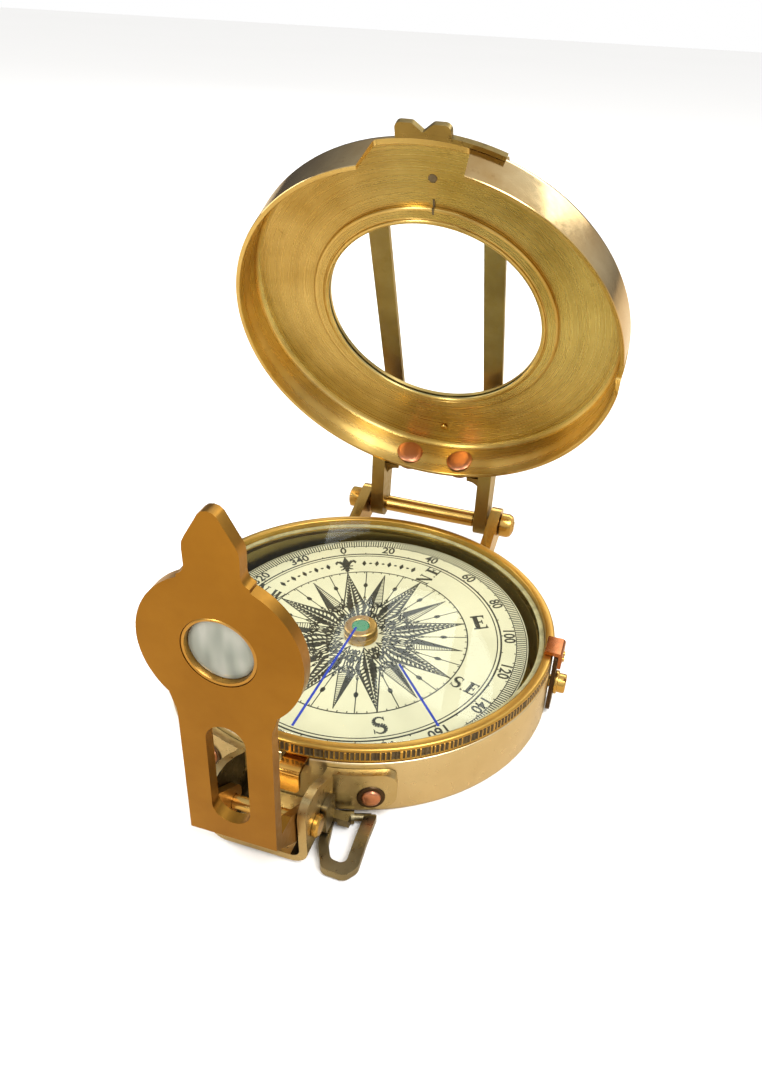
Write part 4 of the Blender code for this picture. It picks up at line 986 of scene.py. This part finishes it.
def build_hinge():
    axis = (HINGE.y, HINGE.z)
    band = wall_arc(BAND_RADIUS, 39.4, 17.6, 1.2, 7.0, False)
    outline = hull(circle(axis, 3.9, 40) + [(33.0, 1.2), (33.0, 6.5)])
    for side, _ in SIDES:
        span = sorted((side * 15.1, side * 17.6))
        lug = slab(outline, *span, ALONG_X)
        lug = cut(lug, slab(circle((0, 0), BAND_RADIUS, 96), -5, 16))
        band = join(band, lug)
        tool = slab(circle(axis, 1.66), span[0] - 1, span[1] + 1, ALONG_X)
        band = cut(band, tool, rivet_hole(side, HINGE_RIVET, CASE_RADIUS, False))
    piece("hinge_lugs", band, BRASS, "case", "hinge_bracket", slot="brass", bevel=0.45, segments=3)
    for side, hand in SIDES:
        place = radial_place(side, HINGE_RIVET, CASE_RADIUS, False)
        rivet(f"hinge_stud_{hand}", f"hinge_rivet_{hand}", place, -1.4, 1.46, BRASS, "case", "brass")
    along = Matrix.Translation(HINGE) @ QUARTER_TURN
    end = 20.98
    half_profile = [(0, -end), (1.2, -end), (1.55, -end + 0.35), (1.58, -11.1), (1.88, -10.9)]
    rod_profile = half_profile + [(r, -z) for r, z in reversed(half_profile)]
    piece("hinge_rod", lathe(rod_profile, 64), BRASS, "case", "hinge_pin", place=along, slot="brass")

    def six_sided(angle, r, _):
        step = 2 * math.pi / 6
        return r if r < 2.0 else min(r, 2.5 / math.cos((angle % step) - step / 2))

    profile = [
        (1.66, 17.66), (2.5, 17.66), (2.88, 17.9), (2.88, 19.6), (2.5, 20.4), (1.9, 20.75), (1.66, 20.78),
    ]
    for side, hand in SIDES:
        nut = lathe(profile, 96, six_sided if hand == "left" else None)
        turn_out = Matrix.Translation(HINGE) @ Matrix.Rotation(side * math.pi / 2, 4, "Y")
        piece(f"hinge_cap_{hand}", nut, BRASS, "case", f"hinge_nut_{hand}", place=turn_out, slot="brass")


# Lid


def mark_radius(obj):
    """Stores each vertex's distance from its own axis, for the lathe marks."""
    values = [math.hypot(v.co.x, v.co.y) + abs(v.co.z) * 0.3 for v in obj.data.vertices]
    attribute = obj.data.attributes.new("turned_radius", "FLOAT", "POINT")
    attribute.data.foreach_set("value", values)


def build_lid():
    inner = LID_RADIUS - LID_SHEET
    inner_top = LID_TOP_Z - LID_SHEET
    profile = [
        (LID_RADIUS - 0.1, LID_RIM_Z), (LID_RADIUS, LID_RIM_Z + 0.15),
        *arc((LID_RADIUS - 2.5, LID_TOP_Z - 2.5), 2.5, 0, 90, 12), (WINDOW_RADIUS + 0.2, LID_TOP_Z),
        (WINDOW_RADIUS, LID_TOP_Z - 0.2), (WINDOW_RADIUS, inner_top), (35.9, inner_top),
        (36.2, inner_top - 0.12), *arc((inner - 1.5, inner_top - 1.7), 1.5, 84, 0, 8),
        (inner, LID_RIM_Z + 3.4), (inner + 0.12, LID_RIM_Z + 3.2), (inner + 0.12, LID_RIM_Z + 0.1),
        (inner + 0.2, LID_RIM_Z),
    ]
    shell = lathe(profile, 256)
    half, slant, top = 8.7, 0.9, 19.0
    notch = filleted(
        [(-half - slant, LID_RIM_Z - 1), (half + slant, LID_RIM_Z - 1), (half, top), (-half, top)],
        [0, 0, 0.7, 0.7],
    )
    tools = [slab(notch, 30, 45, ALONG_MINUS_Y)]
    side_slot = filleted(
        [(-2.6, LID_RIM_Z - 1), (5.4, LID_RIM_Z - 1), (5.4, 16.2), (-2.6, 16.2)], [0, 0, 0.5, 0.5],
    )
    tools.append(slab(side_slot, 35, 45, ALONG_X))
    drilled = (((1.2, -31.8), 0.9, 0.6), ((-13.5, -36.0), 0.75, 0.4), ((1.2, 33.0), 0.95, 0.25))
    tools += [slab(circle(spot, radius, 24), 15, inner_top + depth) for spot, radius, depth in drilled]
    tools.append(block((1.05, 1.35), (-25.9, -23.4), (15, inner_top + 0.25)))
    tools += [rivet_hole(side, LID_RIVET, LID_RADIUS, False, -3) for side, _ in SIDES]
    lid = piece(
        "lid_turned", cut(shell, *tools), LID_INSIDE, "lid", "lid_shell", place=LID_REST,
        slot="lid_brass", bevel=0.1, segments=1, own_axis=True,
    )
    mark_radius(lid)
    paint_faces(
        lid, LID_OUTSIDE, lambda c, _: math.hypot(c.x, c.y) > LID_RADIUS - 0.4 or c.z > LID_TOP_Z - 0.6,
    )

    # Dark brown fills the lid's drilled holes and its index marks.
    marks = [
        slab(circle((1.2, -31.8), 0.8, 24), inner_top - 0.02, inner_top + 0.1),
        block((1.05, 1.45), (-26.2, -25.0), (19.64, 20.3)),
        block((1.05, 1.45), (-27.6, -26.1), (inner_top - 0.15, inner_top + 0.1)),
    ]
    aim = Vector((-13.5, -36.0, 0)).normalized()
    low, high = aim * 38.25 + Vector((0, 0, 19.75)), aim * 38.9 + Vector((0, 0, 20.3))
    marks.append(bar(0.75, low, high, 24))
    piece("lid_pits", merged(*marks), GROOVE, "lid", place=LID_REST, slot="lid_brass")
    peg = lathe([(0, 19.9), (0.55, 19.9), (0.72, 20.1), (0.72, 20.8), (0, 20.8)], 32)
    peg.transform(Matrix.Translation((1.2, 33.0, 0)))
    piece("lid_stop_peg", peg, BRASS, "lid", place=LID_REST, slot="lid_brass")

    glass = lathe(filleted([(0, 20.0), (24.6, 20.0), (24.6, 20.55), (0, 20.55)], [0, 0.1, 0.1, 0]))
    piece("window_pane", glass, WINDOW_GLASS, "lid", "window_glass", place=LID_REST, slot="clear_glass")
    ring = lathe(
        [
            *arc((23.2, 19.9), 0.5, 180, 360, 8), (23.85, 19.98), (24.0, 19.78), (25.4, 19.7),
            *arc((25.6, 20.3), 0.6, 270, 360, 5), (26.2, 20.55), (24.66, 20.55), (24.66, 19.96),
            (22.7, 19.96),
        ],
        256,
    )
    retainer = piece(
        "window_retainer", ring, LID_INSIDE, "lid", "window_ring", place=LID_REST, slot="lid_brass",
        own_axis=True,
    )
    mark_radius(retainer)
    bead = lathe([(22.71, 20.02), (22.71, 19.8), (22.85, 19.72), (23.0, 19.8), (23.0, 20.02)], 192)
    piece("window_putty", bead, PUTTY, "lid", place=LID_REST, slot="gasket")
    for side, hand in SIDES:
        place = LID_REST @ radial_place(side, LID_RIVET, LID_RADIUS, False)
        name, node = f"lid_stud_{hand}", f"lid_rivet_{hand}"
        rivet(
            name, node, place, -1.2, 1.41, COPPER, "lid", "copper", back_head=True, radius=3.1,
            height=0.6,
        )


def build_sight_frame():
    inner = LID_RADIUS + WALL_GAP
    frame = wall_arc(inner, inner + 1.25, 14.6, 12.6, 19.2, False)
    axis = (HINGE.y, HINGE.z)
    outline = hull(circle(axis, 3.2, 40) + [(37.6, 12.6), (37.6, 19.2), (41.0, 19.2)])
    for side, _ in SIDES:
        span = sorted((side * 11.5, side * 14.6))
        arm = slab(outline, *span, ALONG_X)
        arm = cut(arm, slab(circle((0, 0), inner, 96), 0, 30))
        gusset = [(side * 12.0, 40.8), (side * 12.0, 45.4)]
        gusset += arc((side * 8.5, 45.2), 3.1, 0 if side > 0 else 180, -90 if side > 0 else 270, 8)
        gusset += [(side * 8.5, 40.9)]
        corner = slab(gusset, 12.7, 19.1)
        inner_x = 11.8 - 2.15
        wall_y = math.sqrt(inner * inner - inner_x * inner_x) + 0.05
        foot, thick, top, front = 21.75, 1.2, 26.0, -34.6
        path = [
            (wall_y, 15.2), (wall_y + thick, 15.2), (wall_y + thick, top), (front, top), (front, foot),
            (front + 5, foot), (front + 5, foot + thick), (front + thick, foot + thick),
            (front + thick, top - thick), (wall_y, top - thick),
        ]
        radii = [0, 0, 1.6, 1.3, 0.3, 0.2, 0.2, 0.3, 0.4, 0.4]
        low, high = sorted((side * inner_x, side * (inner_x + 4.3)))
        strap = slab(filleted(path, radii, 5), low, high, ALONG_X)
        frame = join(frame, arm, corner, strap)
        tool = slab(circle(axis, 1.7), span[0] - 1, span[1] + 1, ALONG_X)
        hole = rivet_hole(side, LID_RIVET, LID_RADIUS, False, -3)
        frame = cut(frame, tool, hole)
    piece("strap_frame", frame, STRAP, "lid", "sight_frame", place=LID_REST, slot="lid_brass", bevel=0.3)


def build_front_sight():
    inner = LID_RADIUS + WALL_GAP
    band = wall_arc(inner, inner + 0.8, 15.0, 18.9, 20.2, True)
    left, right, front, notch = -4.7, 5.4, -42.9, -41.3
    middle = (left + right) / 2
    outline = [
        (left, -inner - 0.1), (left, front), (middle - 1.9, front), (middle, notch),
        (middle + 1.9, front), (right, front), (right, -inner - 0.1),
    ]
    band = cut(band, block((-20, left), (-45, -30), (18, 21)))
    tab = slab(filleted(outline, [0.1, 1.1, 0.9, 0.2, 1.1, 1.3, 0.1], 5), 18.95, 20.15)
    sight = join(band, tab)
    piece(
        "sight_notch", sight, SIGHT, "lid", "front_sight", place=LID_REST, slot="lid_brass", bevel=0.32,
        segments=3,
    )


# Bracket and eyepiece


def build_bracket():
    sheet, half, floor, corner = 1.4, 8.5, 0.7, 3.0
    turned_out = arc((half - corner, floor + corner), corner, 0, -90, 8)
    turned_in = arc((half - corner, floor + corner), corner - sheet, -90, 0, 8)
    right = [(half, 14.0), *turned_out]
    inner_right = [*turned_in, (half - sheet, 14.0)]
    section = right + [(-x, z) for x, z in reversed(right)]
    section += [(-x, z) for x, z in reversed(inner_right)] + inner_right
    channel = slab(section, 30, 50.5, ALONG_MINUS_Y)
    nose = 2.6
    side_view = [
        (-30, -1), (-30, 10.2), (-38.6, 10.2), (-39.6, 10.5), (-42.3, 12.2), (-45.3, 13.6),
        *arc((-50.5 + nose, 14.0 - nose), nose, 90, 180, 8), (-49.3, -1),
    ]
    channel = keep(channel, slab(side_view, -half - 1, half + 1, ALONG_X))
    channel = cut(channel, slab(circle((0, 0), BAND_RADIUS, 144), -1, 16))
    wings = wall_arc(BAND_RADIUS, 39.6, 18.6, 2.5, 10.2, True, 64)
    face = filleted([(-18.55, 2.51), (18.55, 2.51), (18.55, 10.19), (-18.55, 10.19)], 2.6, 6)
    wings = keep(wings, slab(face, 20, 45, ALONG_MINUS_Y))
    middle = half - sheet
    wings = cut(wings, block((-middle, middle), (-45, -30), (-1, 16)))
    bracket = join(channel, wings)
    tools = [slab(circle((EYE_PIN.y, EYE_PIN.z), 1.26), -half - 2, half + 2, ALONG_X)]
    tools += [rivet_hole(side, BRACKET_RIVET, CASE_RADIUS, True) for side, _ in SIDES]
    bracket = cut(bracket, *tools)
    obj = piece(
        "bracket_channel", bracket, BRACKET, "case", "front_bracket", slot="case_brass", bevel=0.3,
        segments=3,
    )

    # The channel's inward faces get painted shade: near-black, where light hardly reaches inside the
    # channel.
    def faces_in(centre, normal):
        inward = abs(centre.x) < middle + 0.05 and (abs(normal.x) > 0.3 or normal.z > 0.3)
        return inward and abs(centre.x) > 0.01 and normal.x * centre.x <= 0 and centre.y < -38.2

    paint_faces(obj, PAINTED_SHADE_INSIDE, faces_in)
    for side, hand in SIDES:
        place = radial_place(side, BRACKET_RIVET, CASE_RADIUS, True)
        name, node = f"bracket_stud_{hand}", f"bracket_rivet_{hand}"
        rivet(name, node, place, -1.4, 1.66, COPPER, "case", "copper", radius=1.7, height=0.8)
        seat = lathe([(1.3, 1.62), (2.4, 1.62), (2.3, 1.8), (1.75, 1.86), (1.3, 1.8)], 48)
        piece(name + "_seat", seat, DARK_BRASS, "case", place=place, slot="blackened")
    along = Matrix.Translation(EYE_PIN) @ QUARTER_TURN
    end = half + 1.0
    profile = [(0, -end), (1.5, -end), (1.88, -end + 0.3), (1.88, -half - 0.08), (1.2, -half - 0.06)]
    profile += [(r, -z) for r, z in reversed(profile)]
    piece("eyepiece_axle", lathe(profile, 48), BRASS, "case", "eyepiece_pin", place=along, slot="brass")


def build_eyepiece():
    disc = (0.0, DISC_Z)
    stem, tab = 6.9, 3.6
    stem_angle = math.degrees(math.acos(stem / DISC_RADIUS))
    tab_angle = math.degrees(math.acos(tab / DISC_RADIUS))
    right = [
        (stem, EYE_PLATE_BOTTOM_Z), (stem, DISC_Z - 12.4), (stem + 0.12, DISC_Z - 11.4),
        (stem + 0.5, DISC_Z - 10.2), *arc(disc, DISC_RADIUS, -stem_angle + 6, tab_angle - 7, 32),
        *arc((tab + 1.9, DISC_Z + 12.75), 1.75, -110, -180, 5), (tab + 0.2, 62.6), (tab + 0.1, 63.6),
        (tab - 0.35, 64.5),
    ]
    outline = right + [(1.25, 67.9), (0.7, 68.35), (0, 68.5), (-0.7, 68.35), (-1.25, 67.9)]
    outline += [(-x, z) for x, z in reversed(right)]
    slot = arc((0, 34.8 - 3), 3.0, 0, 180, 16) + arc((0, 15.9 + 3), 3.0, 180, 360, 16)
    front, back = -EYE_PLATE_Y, -EYE_PLATE_Y - 2.0
    plate = slab(outline, back, front, ALONG_MINUS_Y, [slot, circle(disc, 5.4, 64)])
    plate.transform(EYE_REST)
    eye = circle((EYE_PIN.y, EYE_PIN.z), 2.7, 40)
    ear_view = hull(eye + [(-57.4, 12.35), (-57.4, 13.9), (-52.1, 13.9)])
    bore = circle((EYE_PIN.y, EYE_PIN.z), 1.3)
    for side, _ in SIDES:
        span = sorted((side * (stem - 1.4), side * (stem - 0.02)))
        ear = slab(ear_view, *span, ALONG_X, [bore])
        plate = join(plate, ear)
    piece(
        "eyepiece_leaf", plate, EYE_BRASS, "eyepiece", "eyepiece_plate", slot="eyepiece_brass", bevel=0.8,
        segments=5,
    )

    facing = EYE_REST @ Matrix.Translation((0, 0, DISC_Z)) @ Matrix.Rotation(math.pi / 2, 4, "X")
    ring = [
        (4.2, back + 0.05), (4.35, back), (5.34, back), (5.34, front - 0.1), (5.2, front - 0.02),
        (4.9, front - 0.1), (4.78, front - 0.4), (4.76, back + 0.5), (4.2, back + 0.5),
    ]
    piece("lens_seat", lathe(ring, 96), LENS_BRASS, "eyepiece", "lens_ring", place=facing, slot="brass")
    lens = [(0, back + 0.56), (4.7, back + 0.56), (4.7, back + 1.1)]
    lens += [(4.7 * math.cos(a), back + 1.1 + 0.4 * math.sin(a)) for a in (0.3, 0.6, 0.9, 1.2, 1.4)]
    lens += [(0, back + 1.5)]
    piece(
        "lens_glass", lathe(lens, 96), LENS_GLASS, "eyepiece", "eyepiece_lens", place=facing,
        slot="clear_glass",
    )


def build_thumb_loop():
    height = 1.2
    outer = [
        (15.9, -37.0), (16.0, -42.1), (16.4, -48.1), (14.9, -50.4), (10.9, -50.2), (8.8, -45.8),
        (8.2, -43.0), (8.2, -39.75),
    ]
    inner = [
        (9.4, -39.3), (9.4, -40.2), (10.3, -45.2), (11.7, -48.0), (14.3, -48.3), (14.0, -42.8),
        (13.9, -37.7),
    ]
    outline = filleted(outer + inner, [0.3, 2, 2, 1.5, 1.5, 2, 2, 0.3, 0.3, 2, 2, 1.2, 1.2, 2, 0.3], 5)
    loop = slab(outline, height - 0.7, height + 0.7)
    start, end = Vector((8.9, -39.5, height)), Vector((15.0, -37.3, height))
    loop = join(loop, bar(0.65, start, end))
    piece("loop_wire", loop, BRONZE, "loop", "thumb_loop", slot="blackened", bevel=0.5, segments=4)

    along = (end - start).normalized()
    first, last = start + along * 1.1, start + along * 3.6
    left = 8.56
    plate = slab(
        filleted([(-44.3, height + 1.1), (-40.4, height + 1.1), (-40.4, 8.3), (-44.3, 8.3)], 0.8, 4),
        left, left + 1.0, ALONG_X,
    )
    shelf = block((left + 0.2, last.x - 0.2), (-41.2, -39.4), (height + 1.11, height + 2.0))
    web = block((first.x + 0.15, last.x - 0.15), (-40.6, -39.4), (height - 0.2, height + 1.6))
    hanger = join(plate, shelf, web, bar(1.15, first, last))
    hanger = cut(hanger, bar(0.75, first - along * 3, last + along * 3))
    piece("hanger_strap", hanger, BRONZE, "case", "loop_hanger", slot="blackened", bevel=0.15)


# Hidden works, stage and camera


def dress_hidden_nodes():
    """The works inside keep their CAD shapes and get finished materials."""
    steel = ["bezel_spring_ring", "pivot_post", "fulcrum_pin", "magnet_left", "magnet_right"]
    finishes = dict.fromkeys(steel, STEEL)
    finishes |= {"lever_fulcrum": BRASS, "card_lifter": BRASS, "jewel_cup": RUBY}
    for node, material in finishes.items():
        materials = frame["nodes"][node].data.materials
        materials.clear()
        materials.append(material)


def white_floor():
    """White to the eye, and a warm table top in what the metal reflects."""
    n = Nodes("floor_white")
    n.set(Specular_IOR_Level=0.0, Roughness=1.0)
    n.colour(n.ramp(n.noise(2.0), [(0.3, 0.94), (0.7, 0.93)]))
    table = n.add("ShaderNodeBsdfDiffuse", Color=(0.60, 0.50, 0.36, 1.0))
    paths = n.add("ShaderNodeLightPath")
    n.surface(n.mix_shader(paths.outputs["Is Glossy Ray"], n.shader.outputs[0], table.outputs[0]))
    return n.material


def build_stage():
    mesh = bpy.data.meshes.new("floor")
    mesh.from_pydata([(x, y, 0) for x, y in rect(-3, -3, 3, 3)], [], [(0, 1, 2, 3)])
    floor = bpy.data.objects.new("floor", mesh)
    floor.data.materials.append(white_floor())
    bpy.context.scene.collection.objects.link(floor)


def area_light(name, spot, target, size, power, colour=(1, 1, 1)):
    light = bpy.data.lights.new(name, "AREA")
    light.shape = "RECTANGLE"
    light.size, light.size_y = size
    light.energy = power
    light.color = colour
    obj = bpy.data.objects.new(name, light)
    obj.location = spot
    obj.rotation_euler = (Vector(target) - Vector(spot)).to_track_quat("-Z", "Y").to_euler()
    bpy.context.scene.collection.objects.link(obj)
    return obj


def build_world():
    """White behind the object, and a room of soft light and dark for the metal to reflect."""
    n = Nodes("studio", bpy.data.worlds)
    bpy.context.scene.world = n.material
    n.tree.nodes.clear()
    output = n.add("ShaderNodeOutputWorld")
    paths = n.add("ShaderNodeLightPath").outputs
    white = n.add("ShaderNodeBackground", Color=(1, 1, 1, 1), Strength=1.0)
    even = n.add("ShaderNodeBackground", Color=(1.0, 0.99, 0.97, 1), Strength=1.0)
    room = n.add("ShaderNodeBackground")
    ray = n.add("ShaderNodeTexCoord").outputs["Generated"]
    split = n.add("ShaderNodeSeparateXYZ")
    n.link(ray, split.inputs[0])
    height = n.add("ShaderNodeMapRange", From_Min=-1.0)
    n.link(split.outputs["Z"], height.inputs["Value"])
    stops = [(0.0, (0.55, 0.5, 0.45)), (0.49, (0.35, 0.32, 0.28)), (0.56, (0.55, 0.54, 0.52))]
    stops += [(0.8, (0.95, 0.96, 0.98)), (1.0, (0.75, 0.76, 0.8))]
    n.link(n.ramp(height.outputs["Result"], stops), room.inputs["Color"])
    side = n.add("ShaderNodeVectorMath", operation="DOT_PRODUCT")
    side.inputs[1].default_value = (0.72, -0.45, 0.53)
    n.link(ray, side.inputs[0])
    shade = n.add("ShaderNodeMapRange", interpolation_type="SMOOTHSTEP", From_Min=-0.75, From_Max=0.85)
    shade.inputs["To Min"].default_value = 0.22
    shade.inputs["To Max"].default_value = 1.25
    n.link(side.outputs["Value"], shade.inputs["Value"])
    n.link(shade.outputs["Result"], room.inputs["Strength"])
    soft = n.mix_shader(paths["Is Diffuse Ray"], room.outputs[0], even.outputs[0])
    n.link(n.mix_shader(paths["Is Camera Ray"], soft, white.outputs[0]), output.inputs["Surface"])


def build_camera():
    data = bpy.data.cameras.new("camera")
    data.lens = 30.0
    data.sensor_width = 36.0
    data.clip_start = 0.005
    camera = bpy.data.objects.new("camera", data)
    right = Vector((0.94991, 0.30998, 0.03973)).normalized()
    ahead = Vector((-0.24432, 0.81589, -0.52405)).normalized()
    up = right.cross(ahead).normalized()
    place = Matrix((right, up, -ahead)).transposed().to_4x4()
    place.translation = Vector((44.36, -137.30, 119.95)) * MM
    camera.matrix_world = place
    bpy.context.scene.collection.objects.link(camera)
    bpy.context.scene.camera = camera


build_case()
build_bezel()
build_card()
build_lever()
build_clamp()
build_hinge()
build_lid()
build_sight_frame()
build_front_sight()
build_bracket()
build_eyepiece()
build_thumb_loop()
dress_hidden_nodes()
build_stage()
build_world()
area_light("key", (0.35, -0.25, 0.65), (0, 0, 0.02), (0.4, 0.4), 5.0)
area_light("left", (-0.6, 0.1, 0.35), (0, 0, 0.03), (0.35, 0.5), 2.0)
area_light("back", (0.1, 0.7, 0.5), (0, 0, 0.03), (0.8, 0.3), 2.5)
area_light("strip", (-0.35, -0.75, 0.45), (0, 0, 0.06), (0.12, 0.5), 3.0, (1.0, 0.97, 0.9))
build_camera()
bpy.context.scene.view_settings.view_transform = "Standard"
